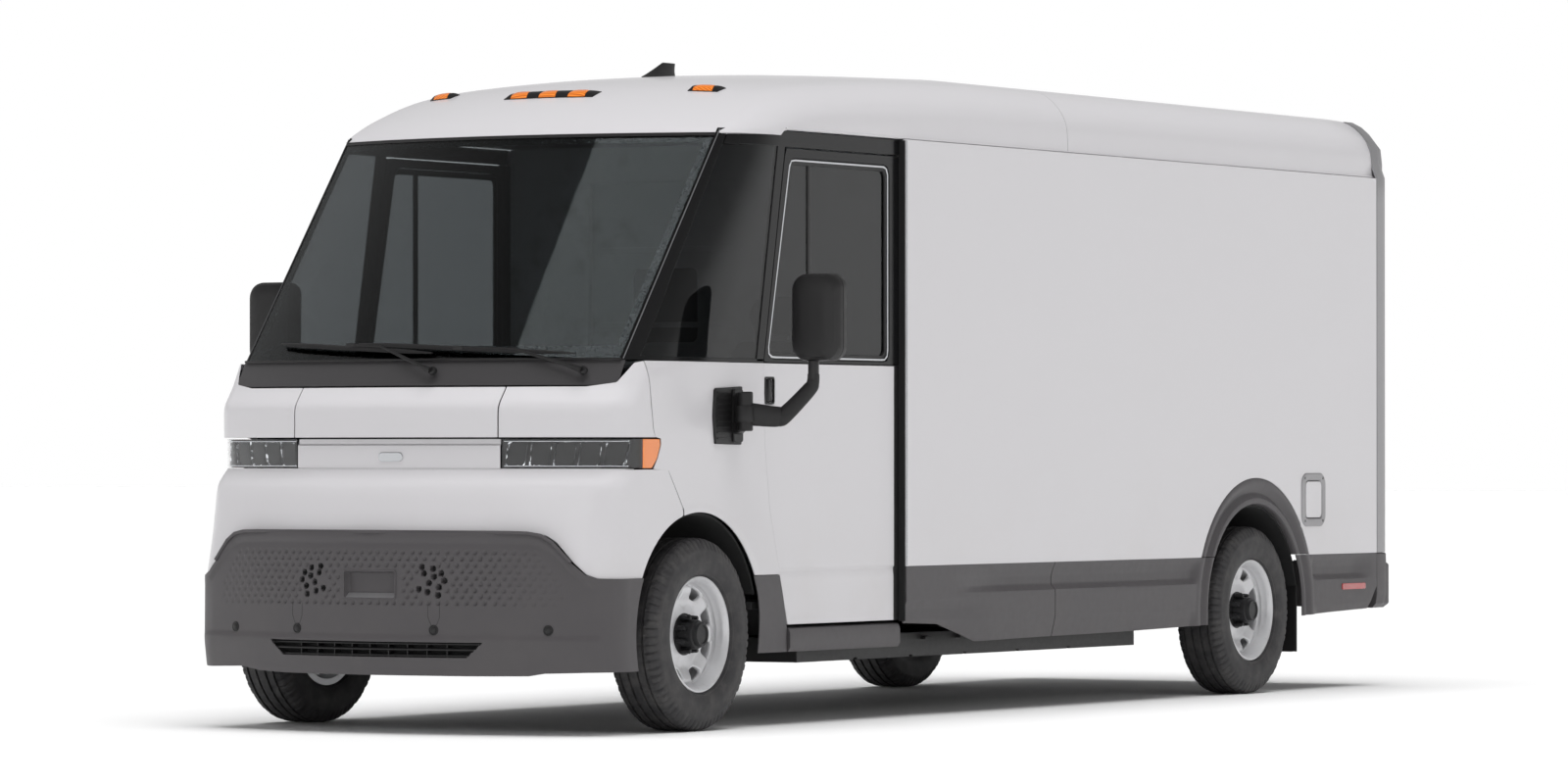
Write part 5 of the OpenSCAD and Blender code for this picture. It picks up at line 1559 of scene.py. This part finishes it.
def dress_frame():
    """Finishes of the pieces whose CAD shape is shown as it is."""
    for name, finish, edge, slot in (
            ("cargo_sides", PAINT, 1.5, "paint_white"), ("rear_frame", GREY, 1.5, "trim_metal"),
            ("chassis_frame", CAST, 2, "chassis_black"), ("battery_pack", SATIN, 3, "battery_case"),
            ("floor_pan", FLOOR_GRIP, 2, "floor_panel"), ("suspension", CAST, 2, "steel_black"),
            ("knuckle_left", CAST, 1, "steel_black"), ("knuckle_right", CAST, 1, "steel_black"),
            ("wheel_liners", WELL, 0, "cladding_grey"), ("bulkhead", LINER, 2, "liner_panel")):
        tidy_cad(name, finish, edge, slot)


# -------- rear
def build_rear():
    for way, side in ((1, "left"), (-1, "right")):
        x0, x1 = 3, 855
        z0, z1 = 634, 2300
        y = REAR_FACE
        def shape(*box):
            return [(way * x, z) for x, z in round_rect(*box)]
        outline = shape(x0, z0, x1, z1, 14, 4)
        leaf = prism("leaf", outline, y, y + 24, "y", PAINT, 3)
        parts = [leaf]
        field = shape(x0 + 70, z0 + 80, x1 - 70, 1240, 24, 5)
        parts.append(prism("lower_field", field, y + 23, y + 26.5, "y", PAINT, 2.5))
        window = round_rect(x0 + 120, 1420, x1 - 150, 1980, 44, 6)
        ring = match_outline([(way * x, z) for x, z in window], 80)
        inner = match_outline([(way * mix(x, 435, 0.07), mix(z, 1700, 0.07)) for x, z in window], 80)
        rows = [[(p[0], y + 25, p[1]) for p in ring], [(p[0], y + 29, p[1]) for p in ring],
                [(p[0], y + 29, p[1]) for p in inner], [(p[0], y + 25, p[1]) for p in inner]]
        points = [p for row in rows for p in row]
        rim = mesh_piece("rim", points, grid_faces(4, 80, closed=True), SATIN)
        parts.append(rim)
        pane = prism("pane", inner, y + 24, y + 26, "y", SIDE_GLASS, 0)
        parts.append(pane)
        for z in (905, 1445, 1985):
            parts.append(prism("strap", shape(700, z + 24, 872, z + 66, 12, 3), y + 24, y + 28.5, "y", GREY,
                               1.5))
            parts.append(lathe("barrel", [(0, 31), (9, 31), (11, 33), (11, 59), (9, 61), (0, 61)], 24,
                               (way * 870, 6013, z - 5), GREY, "z"))
        # Upright lock bar with its guides, and the handle
        x = way * 52
        parts.append(tube("lock_bar", [(x, y + 33, q) for q in steps(660, 2270, 3)], 8, BRIGHT, 14))
        for z in (700, 1180, 1700, 2230):
            parts.append(prism("guide", [(x + dx, z + dz) for dx, dz in round_rect(-20, -16, 20, 16, 5, 3)],
                               y + 23.5, y + 29.5, "y", GREY, 1.2))
        if way > 0:
            parts.append(tube("lever", curve([(x, y + 34, 1250), (x + 30, y + 35, 1246),
                                              (x + 130, y + 35, 1238),
                                              (x + 190, y + 34, 1236)], 5), 7, SATIN, 12))
            parts.append(prism("catch", round_rect(x + 150, 1212, x + 206, 1262, 10, 4), y + 24, y + 29, "y",
                               SATIN, 1.5))
        put(join(f"rear_door_leaf_{side}", parts), f"rear_door_{side}", "paint_white", f"rear_door_{side}")
        lamp = prism("tail", shape(897, 1001, 943, 1399, 16, 5), 6000.5, 6015, "y", RED, 4)
        base = prism("tail_base", shape(892, 992, 948, 1408, 18, 5), 5999, 6004, "y", SATIN, 1.5)
        fixed(lamp, "lens_red", *(["red_lenses"] if way > 0 else []))
        lamp.name = f"tail_lens_{side}"
        fixed(base, "black_trim")
        base.name = f"tail_lamp_base_{side}"
        marker = prism("marker", round_rect(5521, 441, 5761, 469, 7, 4), BODY_X - 8, BODY_X + 4.5, "x", RED,
                       2)
        if way < 0:
            twin = mirrored(marker, "side_marker_right")
            bpy.data.objects.remove(marker)
            marker = twin
        fixed(marker, "lens_red")
        marker.name = f"side_marker_{side}"
    tops = [prism("top_marker", round_rect(x - 40, 2401, x + 40, 2427, 9, 4), 5999, 6012, "y", RED, 3)
            for x in (-150, 0, 150)]
    fixed(join("top_marker_lenses", tops), "lens_red")
    # Rear bumper with its tread step
    out = [(-957, 372), (-957, 548), (-940, 560), (940, 560), (957, 548), (957, 372), (930, 352), (-930, 352)]
    parts = [prism("bar", out, 5976, TAIL, "y", CLAD, 5)]
    for i in range(22):
        x = -798 + i * 76
        parts.append(prism("tread", [(x + dx, 5984 + dy) for dx, dy in round_rect(0, 0, 52, 38, 9, 3)], 559,
                           563.5, "z", CLAD, 1.2))
    plate = prism("plate_recess", round_rect(-170, 400, 170, 520, 12, 4), TAIL - 1.5, TAIL - 0.2, "y", SATIN,
                  0.5)
    parts.append(plate)
    for way in (1, -1):
        end = [(way * x, a) for x, a in ((BODY_X - 26, 5887), (BODY_X, 5889), (BODY_X + 1, 5960),
                                         (BODY_X - 6, 6000), (BODY_X - 34, 6026), (BODY_X - 60, 6030),
                                         (BODY_X - 60, 5900))]
        rings = []
        for z, d in ((352, 26), (372, 6), (420, 0), (490, 0), (SKIRT_Z - 4, 2), (SKIRT_Z, 6)):
            rings.append([(x - way * d * (abs(x) > BODY_X - 50), a - d * (a > 5990), z) for x, a in end])
        parts.append(soften(loft("bumper_end", rings, CLAD), 3))
    fixed(join("rear_bumper_bar", parts), "cladding_grey", "rear_bumper")


# -------- wheels
RIM_R = 220
HAND_HOLES = 8
HOLE_MID = 160


def wheel_depth(r):
    """How far the disc lies outside the hub's face at a radius."""
    return along([(78, 46), (92, 46), (104, 40), (128, 40), (150, 52), (166, 60), (184, 60), (194, 50),
                  (198, 40)], r)


def build_wheel(side, end, centre_a, body):
    way = 1 if side == "left" else -1
    centre = (way * TYRE_X, centre_a, HUB_Z)
    parts = []
    # Rim barrel with its flanges
    rim = [(196, -88), (RIM_R, -88), (RIM_R + 1, -84), (RIM_R, -80), (206, -77), (203, -60), (190, -30),
           (188, 30), (203, 62), (205, 76), (RIM_R - 1, 80), (RIM_R + 1, 85), (RIM_R - 1, 89),
           (RIM_R - 7, 90), (206, 82), (199, 66), (194, 40), (184, 30), (184, -30), (196, -60), (196, -88)]
    parts.append(lathe("rim", rim, 96, centre, WHEEL, "x", way, 50))
    # Disc with round-cornered hand holes, each in its own sector
    sector = 2 * math.pi / HAND_HOLES
    r0, r1 = 78.0, 197.0
    for k in range(HAND_HOLES):
        mid = (k + 0.5) * sector
        edge = ([(r1, t) for t in steps(-sector / 2, sector / 2, 10)][:-1]
                + [(r, sector / 2) for r in steps(r1, r0, 10)][:-1]
                + [(r0, t) for t in steps(sector / 2, -sector / 2, 10)][:-1]
                + [(r, -sector / 2) for r in steps(r0, r1, 10)][:-1])
        def hole(grow):
            out = []
            for r, t in edge:
                u = (r - HOLE_MID) / 37
                v = t * HOLE_MID / 62
                size = (abs(u) ** 4 + abs(v) ** 4) ** 0.25 or 1
                wide = 29 + 7 * u / size + grow
                out.append((HOLE_MID + (19 + grow) * u / size, wide * v / size / HOLE_MID))
            return out
        loops = [edge]
        far, near = hole(11), hole(0)
        loops += [between(edge, far, s) for s in (0.35, 0.7, 1.0)]
        loops += [between(far, near, s) for s in (0.5, 0.85, 1.0)]
        rings = []
        for i, loop in enumerate(loops):
            dip = (0, 0, 0, 0, -1.0, -4.0, -9.0)[i]
            rings.append([(centre[0] + way * (15 + wheel_depth(r) - 46 + dip + 6),
                           centre_a + r * math.cos(mid + t),
                           HUB_Z + r * math.sin(mid + t)) for r, t in loop])
        rings.append([(p[0] - way * 7, p[1], p[2]) for p in rings[-1]])
        points = [p for ring in rings for p in ring]
        parts.append(mesh_piece("sector", points, grid_faces(len(rings), len(edge), closed=True), WHEEL, 60))
    disc = join("disc", parts)
    b = bmesh.new()
    b.from_mesh(disc.data)
    bmesh.ops.remove_doubles(b, verts=b.verts, dist=0.0001)
    bmesh.ops.recalc_face_normals(b, faces=b.faces)
    b.to_mesh(disc.data)
    b.free()
    disc.data.shade_smooth()
    disc.data.set_sharp_from_angle(angle=math.radians(48))
    disc.name = f"wheel_disc_{end}_{side}"
    put(disc, body, "wheel_silver", f"wheel_{end}_{side}")
    # Hub, cap and lug nuts
    x = way * (TYRE_X + 15)
    hub = [lathe("hub", [(30.2, -58), (80, -58), (82, -40), (82, 2), (79, 8), (70, 10), (58, 12), (56, 60),
                         (54, 66), (48, 70), (46, 84), (43, 88), (36, 88), (34, 84), (0, 84)], 48,
                 (x, centre_a, HUB_Z), CAST, "x", way)]
    for k in range(8):
        t = 2 * math.pi * (k + 0.5) / 8
        place = (x, centre_a + 66 * math.cos(t), HUB_Z + 66 * math.sin(t))
        hub.append(lathe("nut", [(11.5, 4), (11.5, 30), (10, 33), (10, 46), (7, 50), (0, 51)], 6, place,
                         CAST, "x", way, 30))
        hub.append(lathe("washer", [(14, 6), (14, 14), (11, 15)], 24, place, CAST, "x", way))
    for t in turns(12):
        fin = slab("fin", (-3, -2, -2), (3, 2, 2), CAST, 0.6)
        spot = metres((x + way * 44, centre_a + 56 * math.cos(t), HUB_Z + 56 * math.sin(t)))
        fin.data.transform(Matrix.Translation(spot - metres((0, 0, 0))))
        hub.append(fin)
    put(join(f"wheel_hub_{end}_{side}", hub), body, "steel_black")
    build_tyre(side, end, centre, way, body)


def build_tyre(side, end, centre, way, body):
    """A road tyre: four grooves, sipes and shoulder blocks cut by moving the tread's points inwards."""
    count = 288
    blocks = 72
    half = TYRE_W / 2
    profile = [(206, 81), (RIM_R + 2, 82), (RIM_R + 4, 91), (RIM_R + 9, 98), (RIM_R + 14, 99),
               (RIM_R + 16, 101), (RIM_R + 34, 107), (RIM_R + 50, half - 1), (RIM_R + 56, half - 0.4),
               (RIM_R + 59, half - 0.4), (RIM_R + 76, half - 0.8), (RIM_R + 92, half - 4),
               (RIM_R + 96, half - 3.4), (RIM_R + 104, half - 6),
               (TYRE_R - 30, half - 9), (TYRE_R - 20, half - 14), (TYRE_R - 12, half - 19),
               (TYRE_R - 6, half - 26), (TYRE_R - 3, half - 33)]
    tread = []
    for groove in (58, 21):
        tread += [(TYRE_R - 1.5, groove + 12), (TYRE_R - 1, groove + 5.5), (TYRE_R - 9, groove + 4),
                  (TYRE_R - 9, groove - 4), (TYRE_R - 0.6, groove - 5.5)]
    tread.append((TYRE_R, 8))
    outer = profile + tread
    section = outer + [(r, -d) for r, d in reversed(outer)]
    rings = []
    for r, d in section:
        ring = []
        reach = abs(d)
        for k in range(count):
            t = 2 * math.pi * k / count
            phase = (k % (count // blocks)) + (2 if d < 0 else 0)
            cut = 0
            notch = phase % 4 == 0
            if notch and r > TYRE_R - 31 and reach > 66:
                cut = 6.5
            elif notch and r > TYRE_R - 5 and reach < 56 and (k // 4) % 2 == (1 if reach > 30 else 0):
                cut = 3.5
            elif r > TYRE_R - 31 and reach > 66 and (k // 4) % 3 == 0:
                cut = 1.2
            rr = r - cut
            ring.append((centre[0] + way * (d - math.copysign(min(cut, 3) if r < TYRE_R - 10 else 0, d)),
                         centre[1] + rr * math.cos(t), centre[2] + rr * math.sin(t)))
        rings.append(ring)
    rings.append(rings[0])
    tyre = loft(f"tyre_{end}_{side}_tread", rings, RUBBER, caps=False, smooth=32)
    put(tyre, body, "tyre_rubber", f"tyre_{end}_{side}")


def build_wheels():
    for side in ("left", "right"):
        for end, a in (("front", 0), ("rear", REAR_AXLE)):
            build_wheel(side, end, a, f"wheel_{end}_{side}")
    # Mud flaps behind the rear wheels
    outline = [(746, 190), (752, 176), (766, 172), (918, 172), (932, 180), (938, 196), (938, 470), (746, 470)]
    flap = prism("mud_flap", outline, REAR_AXLE + ARCH_R - 15, REAR_AXLE + ARCH_R - 8, "y", SATIN, 2)
    both(flap, "mud_flap", "cladding_grey")


# -------- mirrors and wipers
def build_mirrors():
    # Bracket on the cab door's quarter: a ribbed front part and a smooth pad behind it
    outline = match_outline([(110, 1086), (206, 1084), (300, 1083), (304, 1196), (306, 1306), (206, 1302),
                             (106, 1298), (96, 1190)], 48)
    plate = prism("mirror_plate", outline, CAB_X - 4, CAB_X + 10, "x", SATIN, 4)
    pad = prism("mirror_pad", round_rect(226, 1092, 296, 1296, 14, 5), CAB_X + 8, CAB_X + 20, "x", SATIN, 4)
    parts = [plate, pad]
    for i in range(9):
        z = 1104 + i * 22
        parts.append(prism("rib", round_rect(116, z, 216, z + 7, 3, 3), CAB_X + 8, CAB_X + 13, "x", SATIN, 1))
    hub = lathe("mirror_hub", [(0, 0), (26, 0), (30, 5), (30, 145), (26, 150), (0, 150)], 40,
                (1004, 225, 1135), SATIN, "z")
    rings = []
    for x, a, w, z0, z1 in ((944, 262, 34, 1120, 1272), (966, 250, 28, 1126, 1280),
                            (990, 236, 22, 1134, 1284)):
        rings.append([(x, a + dy, z) for dy, z in round_rect(-w, z0, w, z1, 10, 4)])
    parts += [hub, soften(loft("ear", rings, SATIN), 3)]
    both(join("mirror_bracket", parts), "mirror_bracket", "black_trim", "mirror_brackets")
    # Arm: a flat blade that sweeps out and up to the head's neck
    spine = curve([(1004, 225, 1202), (1050, 248, 1196), (1112, 284, 1190), (1140, 298, 1200),
                   (1222, 334, 1292), (1236, 339, 1318), (1238, 340, 1352)], 7)
    rings = []
    for i, p in enumerate(spine):
        t = i / (len(spine) - 1)
        way = (Vector(spine[min(i + 1, len(spine) - 1)]) - Vector(spine[max(i - 1, 0)])).normalized()
        flat = Vector((0, 1, 0)).cross(way).normalized()
        other = way.cross(flat)
        tall, wide = mix(44, 24, ease(0, 1, t)), mix(17, 18, t)
        rings.append([tuple(Vector(p) + flat * tall * math.cos(q) * (abs(math.cos(q)) ** -0.25
                                                                     if abs(math.cos(q)) > 0.01 else 1)
                            + other * wide * math.sin(q)) for q in turns(28)])
    arm = loft("mirror_arm", rings, SATIN)
    collar = lathe("arm_collar", [(0, 2), (36, 2), (39, 7), (39, 58), (36, 63), (0, 63)], 40,
                   (1004, 225, 1168), SATIN, "z")
    neck = lathe("arm_neck", [(0, -8), (18, -8), (21, -2), (21, 62), (0, 62)], 32, (1238, 340, 1340), SATIN,
                 "z")
    both(join("mirror_arm_blade", [arm, collar, neck]), "mirror_arm_blade", "black_trim", "mirror_arm",
         body="mirror_arm_SIDE")
    # Head: rounded shell with a deep back, a parting line and the glass behind
    rings = []
    for a, shrink, r in ((298, 62, 60), (301, 34, 66), (308, 14, 66), (322, 3, 62), (340, 0, 58),
                         (352, 0, 56), (352.5, 2.5, 55), (355, 2.5, 55), (355.5, 0, 56), (378, 0, 54),
                         (384, 3, 52), (385, 8, 48), (383, 13, 44), (376, 15, 42)):
        rings.append([(x, a, z) for x, z in round_rect(1151 + shrink, 1402 + shrink * 1.1, 1361 - shrink,
                                                        1733 - shrink * 0.8, max(r - shrink * 0.4, 12), 8)])
    head = loft("mirror_head", rings, SATIN, smooth=30)
    both(head, "mirror_shell", "black_trim", "mirror_head", body="mirror_head_SIDE")
    main = prism("main", round_rect(1168, 1522, 1344, 1716, 36, 7), 376, 381, "y", SILVERED, 1.5)
    spot = prism("spot", round_rect(1168, 1420, 1344, 1512, 30, 7), 376, 381.5, "y", SILVERED, 1.5)
    both(join("mirror_faces", [main, spot]), "mirror_face", "mirror_face", "mirror_glass",
         body="mirror_head_SIDE")


def build_wipers():
    for side, pivot, knee, tip, end, lift in (("left", 740, 520, 690, -240, 0),
                                              ("right", 150, -70, 120, -660, 14)):
        def point(x, z, off):
            return (x, glass_a(z) + bow(x) - off, z)
        cap = turned_on(f"cap_{side}", point(pivot, 1364, 24), (0, -0.8, 0.45),
                        [(0, 4), (12, 4), (16, 0), (17, -6),
                                                                               (17, -14), (0, -14)], SATIN,
                        28)
        arm = tube("arm", [point(x, z, 30) for x, z in ((pivot, 1362), (mix(pivot, knee, 0.3), 1384),
                                                        (knee, 1424 + lift))], [12, 8, 6], SATIN, 10)
        hook = tube("hook", [point(knee, 1424 + lift, 30), point(knee - 60, 1440 + lift, 27),
                             point(mix(tip, end, 0.5), 1446 + lift, 26)],
                    [6, 6, 7], SATIN, 10)
        rings = []
        for t in steps(0, 1, 36):
            x, z = mix(tip, end, t), mix(1424, 1466, t) + lift * 0.3
            tall = 10 * min(1, 0.35 + 4 * min(t, 1 - t))
            rings.append([point(x, z + dz * tall / 10, 22 + dy) for dy, dz in
                          ((-9, -1.2), (-9, 1.2), (-2, 3), (1, 9), (6, 7), (8, 0), (6, -7), (1, -9),
                           (-2, -3))])
        blade = soften(loft("blade", rings, SATIN), 0.8)
        clip = slab("clip", (-22, -7, -9), (22, 7, 9), SATIN, 3)
        middle = point(mix(tip, end, 0.5), 1446 + lift, 27)
        clip.data.transform(Matrix.Translation(metres(middle) - metres((0, 0, 0))))
        put(join(f"wiper_{side}_arm", [cap, arm, hook, blade, clip]), f"wiper_{side}", "black_trim",
            f"wiper_{side}")


# -------- cab inside
STEER_CENTRE = (450, 590, 1160)
STEER_R = 190
STEER_TILT = -18


def tilted(centre, tilt):
    """Turns a flat shape about the side-to-side line through centre."""
    back = metres(centre)
    return Matrix.Translation(back) @ Matrix.Rotation(math.radians(tilt), 4, "X") @ Matrix.Translation(-back)


def build_steering():
    cx, cy, cz = STEER_CENTRE
    rings = []
    for t in turns(96):
        thick = 13.5 + 1.5 * (abs(math.sin(t)) < 0.35)
        rings.append([(cx + (STEER_R + thick * math.cos(q)) * math.cos(t),
                       cy + (STEER_R + thick * math.cos(q)) * math.sin(t),
                       cz + thick * math.sin(q)) for q in turns(14)])
    rim = loft("rim", rings + [rings[0]], SEAT_SIDE, caps=False)
    pad = prism("pad", match_outline([(cx + x, cy + y) for x, y in
                                      ((-74, 34), (-40, 52), (40, 52), (74, 34), (62, -30), (26, -66),
                                       (-26, -66), (-62, -30))], 40),
                cz - 22, cz + 2, "z", GRAIN, 8)
    parts = [rim, pad]
    for t in (8, 172, 270):
        c, s = math.cos(math.radians(t)), math.sin(math.radians(t))
        line = [(cx + r * c, cy + r * s, cz + dz) for r, dz in ((40, -12), (90, -12), (140, -6), (184, 0))]
        parts.append(tube("spoke", line, [14, 12, 10, 9], GRAIN, 12))
    wheel = join("steering_rim", parts)
    wheel.data.transform(tilted(STEER_CENTRE, STEER_TILT))
    put(wheel, "steering_wheel", "interior_grey", "steering_wheel")


def cushion(name, box, top, material, seams=(), edge=34):
    """A padded block between two corners; top(x, a) swells its upper face."""
    (x0, a0, z0), (x1, a1, z1) = box
    b = bmesh.new()
    bmesh.ops.create_cube(b, size=1)
    for v in b.verts:
        v.co = Vector((x1 if v.co.x > 0 else x0, a1 if v.co.y > 0 else a0, z1 if v.co.z > 0 else z0))
    bmesh.ops.bevel(b, geom=list(b.edges), offset=edge, segments=5, affect="EDGES", profile=0.6)
    for normal, low, high, count in (((1, 0, 0), x0, x1, 18), ((0, 1, 0), a0, a1, 18)):
        for k in range(1, count):
            place = Vector(normal) * mix(low, high, k / count)
            bmesh.ops.bisect_plane(b, geom=list(b.verts) + list(b.edges) + list(b.faces), plane_co=place,
                                   plane_no=Vector(normal))
    for v in b.verts:
        u, w = (v.co.x - x0) / (x1 - x0), (v.co.y - a0) / (a1 - a0)
        h = (v.co.z - z0) / (z1 - z0)
        rise = top(u, w) * ease(0.35, 1, h)
        for seam in seams:
            rise -= 9 * math.exp(-((u - seam) * (x1 - x0) / 7) ** 2) * ease(0.5, 1, h)
        v.co.z += rise
        v.co = metres(v.co)
    mesh = bpy.data.meshes.new(name)
    b.to_mesh(mesh)
    b.free()
    mesh.shade_smooth()
    mesh.materials.append(material)
    return linked(name, mesh)


def build_seat():
    seat = cushion("seat_cushion", ((204, 844, 792), (696, 1296, 892)),
                   lambda u, w: 6 * math.sin(math.pi * clamp(w)) - 16 * math.exp(-((u - 0.5) / 0.26) ** 2)
                   - 8 * (w < 0.08), CLOTH, (0.2, 0.8))
    put(seat, "driver_seat", "seat_cloth")
    # Back rest: rings up the leaning back, with side wings and a seam across
    rings = []
    for t in steps(0, 1, 30):
        z = mix(800, 1500, t)
        front, rear = along([(790, 1300), (1500, 1345)], z, 0,
                            1), along([(790, 1300), (800, 1362), (1500, 1448)], z, 0, 1)
        front -= 64 * (1 - ease(800, 915, z)) * 0.9
        wide = mix(244, 196, ease(0.5, 1, t)) * (0.84 + 0.16 * ease(0, 0.06,
                                                                    t)) * (0.8 + 0.2 * (1 - ease(0.93, 1, t)))
        seam = 7 * math.exp(-((z - 1080) / 9) ** 2) + 7 * math.exp(-((z - 1300) / 9) ** 2)
        ring = []
        for q in turns(44):
            c, s = math.cos(q), math.sin(q)
            size = (abs(c) ** 5 + abs(s) ** 5) ** 0.2
            x, y = wide * c / size, s / size
            hollow = 24 * math.exp(-(x / 120) ** 2) + (seam if abs(x) < 150
                                                       else 0) + 6 * math.exp(-((abs(x) - 150) / 6) ** 2)
            mid, half = (front + rear) / 2, (rear - front) / 2
            ring.append((450 + x, mid + half * y + (hollow if y < 0 else 0) * 0.8, z))
        rings.append(ring)
    back = soften(loft("seat_back", rings, CLOTH, smooth=50), 10, 3)
    put(back, "driver_seat", "seat_cloth")
    rings = []
    for t in steps(0, 1, 10):
        z = mix(1520, 1678, t)
        k = math.sin(math.pi * mix(0.12, 0.88, t)) ** 0.35
        rings.append([(450 + x * k, 1408 + y * k + 3, z) for x, y in round_rect(-126, -40, 126, 40, 34, 5)])
    rest = soften(loft("headrest", rings, CLOTH, smooth=60), 12, 3)
    put(rest, "driver_seat", "seat_cloth")
    parts = [tube("post", [(x, 1410, 1470), (x, 1408, 1560)], 7, BRIGHT, 12) for x in (400, 500)]
    parts.append(slab("seat_base", (226, 924, 742), (674, 1216, 796), SATIN, 10))
    parts.append(slab("seat_pan", (212, 860, 778), (688, 1300, 806), SATIN, 8))
    for x in (300, 600):
        parts.append(slab("rail", (x - 18, 900, 736), (x + 18, 1240, 756), CAST, 3))
    knob = tube("lever", curve([(688, 940, 782), (706, 930, 784), (716, 900, 790)], 4), 7, SATIN, 10)
    parts.append(knob)
    put(join("seat_frame", parts), "driver_seat", "steel_black", "driver_seat")


def build_dashboard():
    """A one-piece moulded dashboard: a hood over the dials and a long tray."""
    dash_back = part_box("dashboard")[1].y
    tidy_cad("dashboard", GRAIN, 6, "interior_grey")
    a1 = (dash_back - FRONT_AXLE_Y) * 1000
    parts = []
    dials = [turned_on("dial", (450 + dx, a1 + 1, 1190), (0, 1, 0.15),
                       [(0, 1), (58, 1), (60, 5), (66, 6), (68, 0)], SATIN, 40)
             for dx in (-75, 75)]
    for x in (-700, -340, 60):
        vent = prism("vent", round_rect(x, 1196, x + 150, 1262, 16, 4), a1 - 1, a1 + 4, "y", SATIN, 2)
        parts.append(vent)
        for k in range(4):
            parts.append(slab("vane", (x + 14, a1 + 2, 1206 + k * 13), (x + 136, a1 + 7, 1210 + k * 13),
                              GRAIN, 0.8))
    screen = prism("screen", round_rect(-230, 1110, 30, 1180, 10, 4), a1 - 1, a1 + 5, "y", GLOSS, 2)
    parts.append(screen)
    for k in range(5):
        parts.append(turned_on("knob", (-200 + k * 50, a1 + 2, 1066), (0, 1, 0),
                               [(0, 16), (11, 16), (13, 13), (14, 2), (16, 0)], SATIN, 24))
    fixed(join("dashboard_controls", dials + parts), "interior_grey")


def build_bulkhead_door():
    low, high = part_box("bulkhead_door")
    x0, x1, z0, z1 = low.x * 1000, high.x * 1000, low.z * 1000, high.z * 1000
    a0, a1 = (low.y - FRONT_AXLE_Y) * 1000, (high.y - FRONT_AXLE_Y) * 1000
    leaf = prism("leaf", round_rect(x0 + 1, z0 + 1, x1 - 1, z1 - 1, 10, 4), a0 + 1, a1 - 1, "y", LINER, 3)
    parts = [leaf]
    for k in range(1, 5):
        z = mix(z0, z1, k / 5)
        parts.append(prism("pressing", round_rect(x0 + 60, z - 12, x1 - 60, z + 12, 11, 4), a0 - 1.5, a0 + 3,
                           "y", LINER, 2))
    parts.append(prism("window", round_rect(mix(x0, x1, 0.3), 1500, mix(x0, x1, 0.7), 1800, 30, 5), a0 - 1,
                       a0 + 3, "y", SIDE_GLASS, 1.5))
    parts.append(prism("pull", round_rect(x0 + 30, 1080, x0 + 52, 1240, 9, 4), a0 - 2, a0 + 3, "y", SATIN, 2))
    put(join("bulkhead_leaf", parts), "bulkhead_door", "liner_panel", "bulkhead_door")


# -------- light and camera
# The camera's place in metres, its turn from +Y and its rise in degrees, and its lens in millimetres
CAMERA_PLACE = (14.0547, -24.2736, 1.0406)
CAMERA_TURN = 30.4509
CAMERA_RISE = 0.5465
CAMERA_LENS = 153.92


def soft_light(name, place, aim, width, height, watts):
    lamp = bpy.data.lights.new(name, "AREA")
    lamp.shape = "RECTANGLE"
    lamp.size, lamp.size_y, lamp.energy = width, height, watts
    holder = linked(name, lamp)
    holder.location = place
    holder.rotation_euler = (Vector(aim) - Vector(place)).to_track_quat("-Z", "Y").to_euler()


def build_stage():
    mesh = bpy.data.meshes.new("studio_floor")
    reach = 160
    corners = [(-reach, -reach, 0), (reach, -reach, 0), (reach, reach, 0), (-reach, reach, 0)]
    mesh.from_pydata(corners, [], [(0, 1, 2, 3)])
    floor = linked("studio_floor", mesh)
    f = Finish("studio_floor", (0.88, 0.88, 0.88), 0.7, specular_ior_level=0.1)
    f.set("Roughness", f.noise(4.0, 4.0) * 0.1 + 0.65)
    mesh.materials.append(f.material)
    world = bpy.data.worlds.new("studio")
    world.use_nodes = True
    tree = world.node_tree
    place = tree.nodes.new("ShaderNodeTexCoord")
    height = tree.nodes.new("ShaderNodeSeparateXYZ")
    ramp = tree.nodes.new("ShaderNodeValToRGB")
    tree.links.new(place.outputs["Generated"], height.inputs[0])
    tree.links.new(height.outputs[2], ramp.inputs[0])
    stops = ((0.0, 1.0), (0.07, 1.0), (0.17, 0.44), (0.6, 0.32), (0.9, 0.16), (1.0, 0.12))
    while len(ramp.color_ramp.elements) < len(stops):
        ramp.color_ramp.elements.new(0.5)
    for element, (where, grey) in zip(ramp.color_ramp.elements, stops):
        element.position = where
        element.color = (grey, grey, grey, 1)
    tree.links.new(ramp.outputs[0], tree.nodes["Background"].inputs[0])
    tree.nodes["Background"].inputs[1].default_value = 1.0
    bpy.context.scene.world = world
    high = bpy.data.lights.new("high", "SUN")
    high.energy = 2.95
    high.angle = math.radians(50)
    holder = linked("high", high)
    holder.rotation_euler = (math.radians(5), math.radians(4), 0)
    holder.visible_glossy = False
    soft_light("key", (2, -15, 6), (0, -3, 1.3), 6, 4, 62)
    soft_light("side", (14, -4, 6.5), (0.9, 0.2, 1.6), 7, 3, 70)
    bpy.context.scene.view_settings.view_transform = "Standard"


def build_camera():
    lens = bpy.data.cameras.new("camera")
    lens.lens = CAMERA_LENS
    lens.sensor_width = 36
    lens.clip_end = 400
    camera = linked("camera", lens)
    camera.location = CAMERA_PLACE
    turn, rise = math.radians(CAMERA_TURN), math.radians(CAMERA_RISE)
    way = Vector((-math.sin(turn) * math.cos(rise), math.cos(turn) * math.cos(rise), math.sin(rise)))
    camera.rotation_euler = way.to_track_quat("-Z", "Y").to_euler()
    bpy.context.scene.camera = camera


build_bumper()
build_grille()
build_bumper_details()
build_white_nose()
build_headlamps()
build_glasshouse()
build_fenders()
build_roof()
build_roof_fittings()
build_doors()
build_skirts()
build_charge_port()
build_body_trim()
build_rear()
build_wheels()
build_mirrors()
build_wipers()
build_steering()
build_seat()
build_dashboard()
build_bulkhead_door()
dress_frame()
build_stage()
build_camera()
